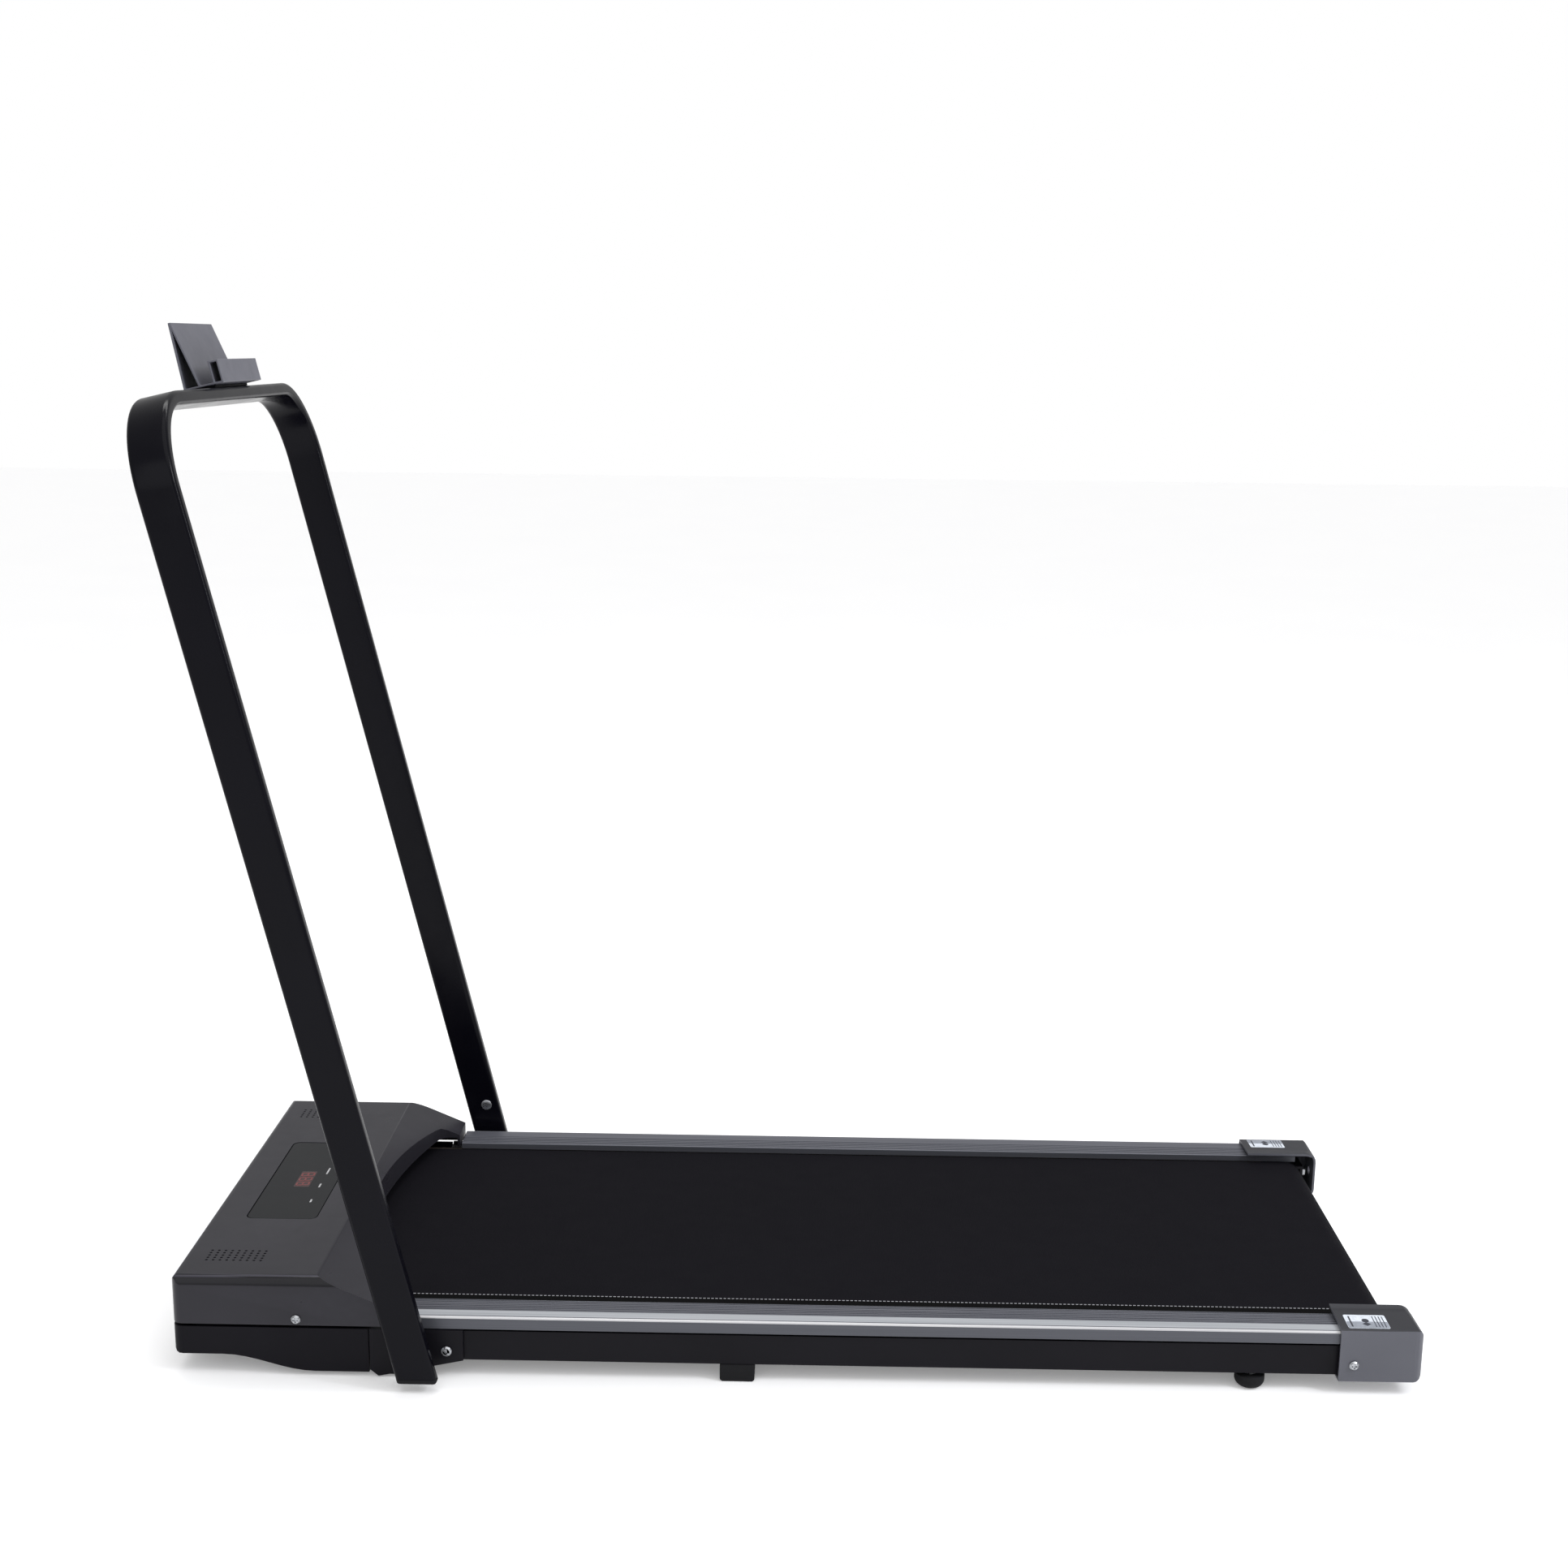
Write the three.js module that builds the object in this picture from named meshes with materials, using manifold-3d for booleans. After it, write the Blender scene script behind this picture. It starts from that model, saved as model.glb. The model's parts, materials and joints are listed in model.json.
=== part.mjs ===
// Folding under-desk treadmill with a fold-down handrail.
// Millimetres, +Z up. X runs from the motor hood (-X) to the rear roller (+X), Y across the belt.
// "near" is the -Y side and "far" is the +Y side.

import * as THREE from 'three';
import { mergeVertices } from 'three/addons/utils/BufferGeometryUtils.js';
import Module from 'manifold-3d';

const wasm = await Module();
wasm.setup();

// ---------------------------------------------------------------------------
// Driving dimensions
// ---------------------------------------------------------------------------

const GAP = 0.3; // between pieces that touch
const CUT = 1; // how far a cutting tool runs past the face it cuts

// Deck, in the deck's own frame: the hood's front is at DECK_FRONT
const DECK_LENGTH = 1250;
const DECK_FRONT = -DECK_LENGTH / 2;
const DECK_REAR = DECK_LENGTH / 2;
const HALF_WIDTH = 245;
const CENTRING_SHIFT = 3.5; // moves the model so that its bounding box is centred on the origin

// Frame rails (C channels, open towards the belt)
const RAIL_FRONT = -427;
const RAIL_REAR = 612;
const RAIL_OUTER = 241.5;
const RAIL_INNER = 212;
const RAIL_BOTTOM = 18.5;
const RAIL_TOP = 50;
const RAIL_WALL = 3;
const AXLE_HEIGHT = 40;
const BOLT_ROW = 225; // Y of the belt's tension bolts

// Running gear
const FRONT_ROLLER_X = -492;
const REAR_ROLLER_X = 586.5;
const ROLLER_RADIUS = 18;
const ROLLER_HALF = 206;
const AXLE_RADIUS = 6;
const AXLE_HALF = 236;
const BELT_HALF = 200;
const BELT_THICKNESS = 2;
const BELT_TOP = AXLE_HEIGHT + ROLLER_RADIUS + GAP + BELT_THICKNESS;

// Motor and drive
const MOTOR_X = -565;
const MOTOR_Z = 60;
const MOTOR_RADIUS = 30;
const MOTOR_Y = [30, 165];
const PULLEY_Y = [210, 222];
const MOTOR_PULLEY_RADIUS = 11;
const ROLLER_PULLEY_RADIUS = 27;
const DRIVE_BELT_THICKNESS = 3;

// Foot rails
const FOOT_RAIL_X = [-410, 600];
const FOOT_RAIL_INNER = 205;
const FOOT_RAIL_TOP = 66.4;
const FOOT_RAIL_LIP = 53.3;
const FOOT_RAIL_WALL = 2.8;

// Hood and pan
const HOOD_TOP = 105;
const HOOD_BOTTOM = 54.5;
const HOOD_REAR = -412;
const HOOD_CREASE_X = -479;
const HOOD_REAR_TOP = 76.5;
const HOOD_WALL = 3;
const HOOD_SIDE_RADIUS = 11;
const HOOD_FRONT_RADIUS = 8;
const CORNER_RADIUS = 10;
const ARCH_DEPTH_X = -466;
const ARCH_RADIUS = 660;
const ARCH_HALF = 204;
const ARCH_LIP_Z = 73;
const PAN_TOP = 51.5;
const PAN_BOTTOM = 22;
const PAN_BELLY = 5;
const PAN_REAR = -428;
const PAN_WALL = 2.5;

// Display in the hood's top
const DISPLAY_X = [-587, -512];
const DISPLAY_HALF = 105;
const DISPLAY_CORNER = 8;

// Handrail: a U of flat tube, built upright about its pivot and leant forward at rest
const PIVOT_X = -380.7;
const PIVOT_Z = 38;
const LEAN = THREE.MathUtils.degToRad(13.57);
const TUBE_WIDTH = 39; // along the folding direction
const TUBE_THICKNESS = 14; // across the machine
const TUBE_CORNER = 4.5;
const TUBE_WALL = 1.8;
const HANDRAIL_HALF = 279;
const HANDRAIL_HEIGHT = 955.5; // from the pivot to the crossbar's top
const BEND_RADIUS = 79; // of the tube's centre line
const LEG_BOTTOM_Z = 10.8; // height of the leg plugs' soles at rest
const PLUG_HEIGHT = 4.5;
const FLOOR_CLEARANCE = 1; // of the leg plugs as they swing
const STOP_BOLT_HEIGHT = 55; // above the pivot, along the leg
const STOP_BOLT_X = 5; // behind the leg's centre line

// Fasteners
const SCREW_HEAD_RADIUS = 5;
const SCREW_SHANK_RADIUS = 2;
const TENSION_BOLT_RADIUS = 4;
const PIVOT_BOLT_RADIUS = 5;
const STOP_BOLT_RADIUS = 4;
const HOLE_CLEARANCE = 0.3;

// ---------------------------------------------------------------------------
// Materials
// ---------------------------------------------------------------------------

const finish = (color, roughness, metalness) =>
	new THREE.MeshStandardMaterial({ color, roughness, metalness });

const MATERIAL = {
	hoodPlastic: finish(0x3d3c40, 0.45, 0.0),
	blackPlastic: finish(0x1c1b1f, 0.5, 0.0),
	capPlastic: finish(0x45454b, 0.5, 0.0),
	smokedPanel: finish(0x2a2c2d, 0.2, 0.0),
	blackSteel: finish(0x1b1a1d, 0.4, 0.3),
	handrailPaint: finish(0x111013, 0.3, 0.2),
	holderPaint: finish(0x37373d, 0.4, 0.3),
	aluminium: finish(0x73747d, 0.35, 0.9),
	zinc: finish(0xb8bcc2, 0.3, 0.9),
	steel: finish(0x9a9da1, 0.35, 0.9),
	beltRubber: finish(0x1d1c20, 0.8, 0.0),
	rubber: finish(0x121214, 0.85, 0.0),
	board: finish(0x8a6a45, 0.7, 0.0),
	circuit: finish(0x1f5a35, 0.5, 0.0),
	motorPaint: finish(0x2b2d31, 0.45, 0.4),
};

// ---------------------------------------------------------------------------
// Geometry helpers
// ---------------------------------------------------------------------------

const AXIS_X = new THREE.Matrix4().set(0, 0, 1, 0, 1, 0, 0, 0, 0, 1, 0, 0, 0, 0, 0, 1);
const AXIS_Y = new THREE.Matrix4().set(0, 1, 0, 0, 0, 0, 1, 0, 1, 0, 0, 0, 0, 0, 0, 1);

const shapeOf = (points) => new THREE.Shape(points.map(([a, b]) => new THREE.Vector2(a, b)));

function extrude(shape, from, to, curveSegments = 3) {
	const geometry = new THREE.ExtrudeGeometry(shape, { depth: to - from, bevelEnabled: false, curveSegments });
	return geometry.translate(0, 0, from);
}

// A shape of (x, y) points, extruded up
const alongZ = (shape, z0, z1, segments) => extrude(shape, z0, z1, segments);

// A shape of (y, z) points, extruded along X
const alongX = (shape, x0, x1, segments) => extrude(shape, x0, x1, segments).applyMatrix4(AXIS_X);

// A shape of (z, x) points, extruded along Y
const alongY = (shape, y0, y1, segments) => extrude(shape, y0, y1, segments).applyMatrix4(AXIS_Y);

// An outline of (x, z) points, extruded along Y
const sideProfile = (points, y0, y1) => alongY(shapeOf(points.map(([x, z]) => [z, x])), y0, y1);

function box([x0, x1], [y0, y1], [z0, z1]) {
	const geometry = new THREE.BoxGeometry(x1 - x0, y1 - y0, z1 - z0);
	return geometry.translate((x0 + x1) / 2, (y0 + y1) / 2, (z0 + z1) / 2);
}

function roundedRectangle([a0, a1], [b0, b1], radius) {
	const shape = new THREE.Shape();
	shape.moveTo(a0 + radius, b0);
	shape.lineTo(a1 - radius, b0);
	shape.absarc(a1 - radius, b0 + radius, radius, -Math.PI / 2, 0);
	shape.lineTo(a1, b1 - radius);
	shape.absarc(a1 - radius, b1 - radius, radius, 0, Math.PI / 2);
	shape.lineTo(a0 + radius, b1);
	shape.absarc(a0 + radius, b1 - radius, radius, Math.PI / 2, Math.PI);
	shape.lineTo(a0, b0 + radius);
	shape.absarc(a0 + radius, b0 + radius, radius, Math.PI, 1.5 * Math.PI);
	return shape;
}

// Profile of (radius, height) points turned about the Y axis through (x, z)
function turnedY(profile, x, z, segments = 24) {
	const geometry = new THREE.LatheGeometry(profile.map(([r, h]) => new THREE.Vector2(r, h)), segments);
	return geometry.translate(x, 0, z);
}

// The same about a vertical axis through (x, y)
function turnedZ(profile, x, y, segments = 24) {
	const geometry = new THREE.LatheGeometry(profile.map(([r, h]) => new THREE.Vector2(r, h)), segments);
	return geometry.rotateX(Math.PI / 2).translate(x, y, 0);
}

const rodY = (radius, y0, y1, x, z, segments = 20) =>
	turnedY([[0, y0], [radius, y0], [radius, y1], [0, y1]], x, z, segments);

const ringY = (inner, outer, y0, y1, x, z, segments = 28) =>
	turnedY([[inner, y0], [outer, y0], [outer, y1], [inner, y1], [inner, y0]], x, z, segments);

function rodX(radius, x0, x1, y, z, segments = 16) {
	const geometry = new THREE.CylinderGeometry(radius, radius, x1 - x0, segments);
	return geometry.rotateZ(-Math.PI / 2).translate((x0 + x1) / 2, y, z);
}

function hexPrismZ(acrossCorners, z0, z1, x, y) {
	const geometry = new THREE.CylinderGeometry(acrossCorners, acrossCorners, z1 - z0, 6);
	return geometry.rotateX(Math.PI / 2).translate(x, y, (z0 + z1) / 2);
}

function toSolid(geometry) {
	const plain = geometry.clone();
	plain.deleteAttribute('normal');
	plain.deleteAttribute('uv');
	const merged = mergeVertices(plain, 1e-4);
	return new wasm.Manifold(new wasm.Mesh({
		numProp: 3,
		vertProperties: new Float32Array(merged.attributes.position.array),
		triVerts: new Uint32Array(merged.index.array),
	}));
}

function toGeometry(solid) {
	const mesh = solid.getMesh();
	const geometry = new THREE.BufferGeometry();
	geometry.setAttribute('position', new THREE.BufferAttribute(new Float32Array(mesh.vertProperties), 3));
	geometry.setIndex(new THREE.BufferAttribute(new Uint32Array(mesh.triVerts), 1));
	geometry.computeVertexNormals();
	return geometry;
}

const join = (...geometries) =>
	toGeometry(geometries.map(toSolid).reduce((whole, piece) => whole.add(piece)));

const cut = (geometry, ...tools) =>
	toGeometry(tools.map(toSolid).reduce((whole, tool) => whole.subtract(tool), toSolid(geometry)));

const common = (...geometries) =>
	toGeometry(geometries.map(toSolid).reduce((whole, piece) => whole.intersect(piece)));

// ---------------------------------------------------------------------------
// Scene graph
// ---------------------------------------------------------------------------

const group = new THREE.Group();
group.position.x = CENTRING_SHIFT;

const handrail = new THREE.Group();
handrail.position.set(PIVOT_X, 0, PIVOT_Z);
handrail.rotation.y = -LEAN;
group.add(handrail);

function place(name, geometry, material, parent = group) {
	const mesh = new THREE.Mesh(geometry, material);
	mesh.name = name;
	parent.add(mesh);
	return mesh;
}

// Places a piece drawn on the far (+Y) side and its mirror image on the near side
function placePair(name, geometry, material, parent = group) {
	place(`${name}_far`, geometry, material, parent);
	place(`${name}_near`, mirrored(geometry), material, parent);
}

function mirrored(geometry) {
	const copy = geometry.index ? geometry.toNonIndexed() : geometry.clone();
	const positions = copy.attributes.position;
	for (let i = 0; i < positions.count; i += 3) {
		const corners = [0, 1, 2].map((k) => new THREE.Vector3().fromBufferAttribute(positions, i + k));
		[corners[0], corners[2], corners[1]].forEach((corner, k) => {
			positions.setXYZ(i + k, corner.x, -corner.y, corner.z);
		});
	}
	copy.computeVertexNormals();
	return copy;
}

// ---------------------------------------------------------------------------
// Fasteners
// ---------------------------------------------------------------------------

// Pan-head screw pointing inwards from the far side, with a cross recess in its head
function panScrew(x, z, seat, length, headRadius = SCREW_HEAD_RADIUS) {
	const headHeight = headRadius / 2;
	const recess = headRadius / 6;
	const screw = turnedY([
		[0, seat - length],
		[SCREW_SHANK_RADIUS, seat - length],
		[SCREW_SHANK_RADIUS, seat],
		[headRadius, seat],
		[headRadius, seat + 0.4 * headHeight],
		[0.7 * headRadius, seat + headHeight],
		[0, seat + headHeight],
	], x, z, 10);
	const bars = [[headRadius * 0.55, recess], [recess, headRadius * 0.55]].map(([dx, dz]) =>
		box([x - dx, x + dx], [seat + 0.4 * headHeight, seat + headHeight + CUT], [z - dz, z + dz]));
	return cut(screw, ...bars);
}

const screwHole = (x, z, y0, y1) => rodY(SCREW_SHANK_RADIUS + HOLE_CLEARANCE, y0, y1, x, z, 8);

// ---------------------------------------------------------------------------
// Frame
// ---------------------------------------------------------------------------

const HOOD_SCREW = { x: -500, z: 61 };
const BRACKET_SCREW = { x: -349.5, z: 30 };
const CAP_SCREW = { x: 555.5, z: 32.5 };

function frameRail() {
	const channel = alongX(shapeOf([
		[RAIL_INNER, RAIL_BOTTOM],
		[RAIL_OUTER, RAIL_BOTTOM],
		[RAIL_OUTER, RAIL_TOP],
		[RAIL_INNER, RAIL_TOP],
		[RAIL_INNER, RAIL_TOP - RAIL_WALL],
		[RAIL_OUTER - RAIL_WALL, RAIL_TOP - RAIL_WALL],
		[RAIL_OUTER - RAIL_WALL, RAIL_BOTTOM + RAIL_WALL],
		[RAIL_INNER, RAIL_BOTTOM + RAIL_WALL],
	]), RAIL_FRONT, RAIL_REAR);
	const endPlate = box([RAIL_REAR - RAIL_WALL, RAIL_REAR], [RAIL_INNER, RAIL_OUTER], [RAIL_BOTTOM, RAIL_TOP]);
	const through = [RAIL_OUTER - RAIL_WALL - CUT, RAIL_OUTER + CUT];
	return cut(
		join(channel, endPlate),
		rodX(TENSION_BOLT_RADIUS + HOLE_CLEARANCE,
			RAIL_REAR - RAIL_WALL - CUT, RAIL_REAR + CUT, BOLT_ROW, AXLE_HEIGHT),
		rodY(PIVOT_BOLT_RADIUS + HOLE_CLEARANCE, ...through, PIVOT_X, PIVOT_Z, 16),
		screwHole(BRACKET_SCREW.x, BRACKET_SCREW.z, ...through),
		screwHole(CAP_SCREW.x, CAP_SCREW.z, ...through),
	);
}

placePair('frame_rail', frameRail(), MATERIAL.blackSteel);

const CROSSMEMBERS = { crossmember_front: -310, crossmember_middle: 60, crossmember_rear: 500 };
const CROSSMEMBER_HALF = RAIL_OUTER - RAIL_WALL - GAP;
const CROSSMEMBER_WIDTH = 30;
const CROSSMEMBER_Z = [25, 42.5];

// Rectangular tube, open at both ends, lying across the frame at x
function crossmember(x) {
	const outline = ([z0, z1], inset) => [
		[z0 + inset, x - CROSSMEMBER_WIDTH / 2 + inset],
		[z1 - inset, x - CROSSMEMBER_WIDTH / 2 + inset],
		[z1 - inset, x + CROSSMEMBER_WIDTH / 2 - inset],
		[z0 + inset, x + CROSSMEMBER_WIDTH / 2 - inset],
	];
	const shape = shapeOf(outline(CROSSMEMBER_Z, 0));
	shape.holes.push(shapeOf(outline(CROSSMEMBER_Z, TUBE_WALL)));
	return alongY(shape, -CROSSMEMBER_HALF, CROSSMEMBER_HALF);
}

for (const [name, x] of Object.entries(CROSSMEMBERS)) {
	place(name, crossmember(x), MATERIAL.blackSteel);
}

// Inside the pan: a bar along each side, a cross plate with the motor's cradle,
// and tabs for the hood's screws
function frontSubframe() {
	const barX = [-605, RAIL_FRONT - GAP];
	const barZ = [28, 46];
	const barY = [226, 238];
	const tabY = [234, 238];
	const tabHalfLength = 8;
	const plateX = [-562, -520];
	const plateZ = [26, 28.5];
	const cradleX = [MOTOR_X - 25, MOTOR_X + 25];
	const cradleY = [60, 140];
	const cradleTop = 44;
	const slotClearance = 2;
	const plate = box(plateX, [-barY[1], barY[1]], plateZ);
	const beltSlot = box(
		[plateX[0] + 10, plateX[1] + CUT],
		[PULLEY_Y[0] - slotClearance, PULLEY_Y[1] + slotClearance],
		[plateZ[0] - CUT, plateZ[1] + CUT]);
	const sides = [1, -1].flatMap((side) => {
		const spread = ([a, b]) => (side > 0 ? [a, b] : [-b, -a]);
		return [
			box(barX, spread(barY), barZ),
			box(
				[HOOD_SCREW.x - tabHalfLength, HOOD_SCREW.x + tabHalfLength],
				spread(tabY), [barZ[1] - CUT, HOOD_SCREW.z + 7]),
		];
	});
	const cradle = box(cradleX, cradleY, [plateZ[0], cradleTop]);
	return cut(
		join(plate, cradle, ...sides),
		beltSlot,
		rodY(MOTOR_RADIUS + GAP, cradleY[0] - CUT, cradleY[1] + CUT, MOTOR_X, MOTOR_Z, 32),
		rodY(AXLE_RADIUS + HOLE_CLEARANCE, -AXLE_HALF - GAP, AXLE_HALF + GAP, FRONT_ROLLER_X, AXLE_HEIGHT, 20),
		screwHole(HOOD_SCREW.x, HOOD_SCREW.z, -barY[1] - CUT, barY[1] + CUT),
	);
}

place('front_subframe', frontSubframe(), MATERIAL.blackSteel);

const BOARD_X = [-458, 560];
const BOARD_HALF = RAIL_INNER - 1;
const BOARD_Z = [43, 57.7];

place('deck_board', box(BOARD_X, [-BOARD_HALF, BOARD_HALF], BOARD_Z), MATERIAL.board);

// ---------------------------------------------------------------------------
// Running gear
// ---------------------------------------------------------------------------

// Outline of a band round two pulleys, as (z, x) points for extruding along Y
function bandOutline(a, b, offset, segments) {
	const direction = Math.atan2(b.z - a.z, b.x - a.x);
	const spread = Math.acos((a.radius - b.radius) / Math.hypot(b.x - a.x, b.z - a.z));
	const arc = (wheel, from, to) => Array.from({ length: segments + 1 }, (_, i) => {
		const angle = from + (i / segments) * (to - from);
		const radius = wheel.radius + offset;
		return [wheel.z + radius * Math.sin(angle), wheel.x + radius * Math.cos(angle)];
	});
	return [
		...arc(a, direction + spread, direction + 2 * Math.PI - spread),
		...arc(b, direction - spread, direction + spread),
	];
}

function band(a, b, thickness, y0, y1, segments) {
	return cut(
		alongY(shapeOf(bandOutline(a, b, GAP + thickness, segments)), y0, y1),
		alongY(shapeOf(bandOutline(a, b, GAP, segments)), y0 - CUT, y1 + CUT),
	);
}

const frontRoller = { x: FRONT_ROLLER_X, z: AXLE_HEIGHT, radius: ROLLER_RADIUS };
const rearRoller = { x: REAR_ROLLER_X, z: AXLE_HEIGHT, radius: ROLLER_RADIUS };
const rollerPulley = { x: FRONT_ROLLER_X, z: AXLE_HEIGHT, radius: ROLLER_PULLEY_RADIUS };
const motorPulley = { x: MOTOR_X, z: MOTOR_Z, radius: MOTOR_PULLEY_RADIUS };
const AXLE_BORE = AXLE_RADIUS + GAP;

place('running_belt',
	band(frontRoller, rearRoller, BELT_THICKNESS, -BELT_HALF, BELT_HALF, 14), MATERIAL.beltRubber);

// Roller with a shallow shoulder at each end
function roller(x, end) {
	const shoulder = 4;
	const shoulderRadius = ROLLER_RADIUS - 3;
	return turnedY([
		[AXLE_BORE, -end],
		[shoulderRadius, -end],
		[shoulderRadius, -end + shoulder],
		[ROLLER_RADIUS, -end + shoulder],
		[ROLLER_RADIUS, end - shoulder],
		[shoulderRadius, end - shoulder],
		[shoulderRadius, end],
		[AXLE_BORE, end],
		[AXLE_BORE, -end],
	], x, AXLE_HEIGHT, 32);
}

place('front_roller', roller(FRONT_ROLLER_X, ROLLER_HALF), MATERIAL.steel);
place('rear_roller', roller(REAR_ROLLER_X, ROLLER_HALF), MATERIAL.steel);
place('front_axle', rodY(AXLE_RADIUS, -AXLE_HALF, AXLE_HALF, FRONT_ROLLER_X, AXLE_HEIGHT), MATERIAL.steel);

const boltHole = (side) => rodX(
	TENSION_BOLT_RADIUS + HOLE_CLEARANCE, REAR_ROLLER_X - AXLE_RADIUS - CUT, REAR_ROLLER_X + AXLE_RADIUS + CUT,
	side * BOLT_ROW, AXLE_HEIGHT);
place('rear_axle', cut(
	rodY(AXLE_RADIUS, -AXLE_HALF, AXLE_HALF, REAR_ROLLER_X, AXLE_HEIGHT), boltHole(1), boltHole(-1),
), MATERIAL.steel);

function tensionBolt() {
	const head = [RAIL_REAR + GAP, RAIL_REAR + 5];
	const hexHead = new THREE.CylinderGeometry(7, 7, head[1] - head[0], 6)
		.rotateZ(-Math.PI / 2)
		.translate((head[0] + head[1]) / 2, BOLT_ROW, AXLE_HEIGHT);
	return join(rodX(TENSION_BOLT_RADIUS, 566, head[0] + CUT, BOLT_ROW, AXLE_HEIGHT, 12), hexHead);
}

placePair('tension_bolt', tensionBolt(), MATERIAL.zinc);

place('roller_pulley',
	ringY(AXLE_BORE, ROLLER_PULLEY_RADIUS, ...PULLEY_Y, FRONT_ROLLER_X, AXLE_HEIGHT, 32), MATERIAL.blackPlastic);

place('drive_belt',
	band(motorPulley, rollerPulley, DRIVE_BELT_THICKNESS, PULLEY_Y[0] + 1, PULLEY_Y[1] - 1, 12),
	MATERIAL.rubber);

// ---------------------------------------------------------------------------
// Motor, electronics
// ---------------------------------------------------------------------------

const SHAFT_RADIUS = 5;

// Barrel with a stepped end bell at each end and a blind bore for the shaft
function motorBody() {
	const [y0, y1] = MOTOR_Y;
	const bell = 12;
	const bellRadius = MOTOR_RADIUS - 4;
	const boreDepth = 30;
	return turnedY([
		[0, y0],
		[bellRadius, y0],
		[bellRadius, y0 + bell],
		[MOTOR_RADIUS, y0 + bell],
		[MOTOR_RADIUS, y1 - bell],
		[bellRadius, y1 - bell],
		[bellRadius, y1],
		[SHAFT_RADIUS + GAP, y1],
		[SHAFT_RADIUS + GAP, y1 - boreDepth],
		[0, y1 - boreDepth],
	], MOTOR_X, MOTOR_Z, 32);
}

place('motor', motorBody(), MATERIAL.motorPaint);

// Shaft and pulley turn together
place('motor_pulley', turnedY([
	[0, MOTOR_Y[1] - 25],
	[SHAFT_RADIUS, MOTOR_Y[1] - 25],
	[SHAFT_RADIUS, PULLEY_Y[0]],
	[MOTOR_PULLEY_RADIUS, PULLEY_Y[0]],
	[MOTOR_PULLEY_RADIUS, PULLEY_Y[1]],
	[0, PULLEY_Y[1]],
], MOTOR_X, MOTOR_Z, 20), MATERIAL.steel);

function controlBoard() {
	const boardX = [-606, -563];
	const boardY = [-165, -25];
	const boardZ = [31, 32.6];
	const seat = boardZ[1] - 0.5;
	const margin = 6;
	const postHalf = 2.5;
	const capacitorRadius = 9;
	const capacitorTop = 62;
	const postX = [boardX[0] + margin, boardX[1] - margin];
	const postY = [boardY[0] + margin, boardY[1] - margin];
	const standOffs = postX.flatMap((x) => postY.map((y) => box(
		[x - postHalf, x + postHalf],
		[y - postHalf, y + postHalf],
		[PAN_BOTTOM + PAN_WALL + GAP, boardZ[0] + 0.5])));
	const capacitors = [-60, -85].map((y) => turnedZ(
		[[0, seat], [capacitorRadius, seat], [capacitorRadius, capacitorTop], [0, capacitorTop]], -585, y, 16));
	const relay = box([-582, -566], [-50, -25], [seat, 50]);
	return join(box(boardX, boardY, boardZ), ...standOffs, ...capacitors, relay);
}

place('control_board', controlBoard(), MATERIAL.circuit);

function heatSink() {
	const sinkX = [-604, -565];
	const sinkY = [-155, -105];
	const baseZ = [33, 37];
	const finTop = 60;
	const finPitch = 6;
	const finThickness = 2;
	const fins = Array.from({ length: 7 }, (_, i) => sinkX[0] + finPitch * i);
	const base = box(sinkX, sinkY, baseZ);
	return join(base, ...fins.map((x) => box([x, x + finThickness], sinkY, [baseZ[1] - CUT, finTop])));
}

place('heat_sink', heatSink(), MATERIAL.aluminium);

// ---------------------------------------------------------------------------
// Foot rails
// ---------------------------------------------------------------------------

// Cross-section on the far side: grooved tread, smooth outer band, outer lip and supporting rib
function footRailSection() {
	const grooveCount = 6;
	const groovePitch = 3.7;
	const grooveWidth = 1.7;
	const grooveDepth = 0.9;
	const treadStart = FOOT_RAIL_INNER + 2;
	const ribY = [223.5, 226];
	const top = FOOT_RAIL_TOP;
	const under = top - FOOT_RAIL_WALL;
	const innerBottom = 59;
	const skirt = 2.5;
	const edge = 2.2;
	const grooves = Array.from({ length: grooveCount }, (_, i) => treadStart + i * groovePitch).flatMap((y) => [
		[y, top],
		[y, top - grooveDepth],
		[y + grooveWidth, top - grooveDepth],
		[y + grooveWidth, top],
	]);
	return shapeOf([
		[FOOT_RAIL_INNER, innerBottom],
		[FOOT_RAIL_INNER, top - 0.8],
		[FOOT_RAIL_INNER + 0.8, top],
		...grooves,
		[HALF_WIDTH - edge, top],
		[HALF_WIDTH - 0.3 * edge, top - 0.3 * edge],
		[HALF_WIDTH, top - edge],
		[HALF_WIDTH, FOOT_RAIL_LIP],
		[HALF_WIDTH - skirt, FOOT_RAIL_LIP],
		[HALF_WIDTH - skirt, under],
		[ribY[1], under],
		[ribY[1], RAIL_TOP + GAP],
		[ribY[0], RAIL_TOP + GAP],
		[ribY[0], under],
		[FOOT_RAIL_INNER + skirt, under],
		[FOOT_RAIL_INNER + skirt, innerBottom],
	]);
}

placePair('foot_rail', alongX(footRailSection(), ...FOOT_RAIL_X), MATERIAL.aluminium);

// ---------------------------------------------------------------------------
// Hood
// ---------------------------------------------------------------------------

// Point of the arch's edge, in plan, at y
const archX = (y) => ARCH_DEPTH_X + ARCH_RADIUS - Math.sqrt(ARCH_RADIUS ** 2 - y ** 2);

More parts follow.
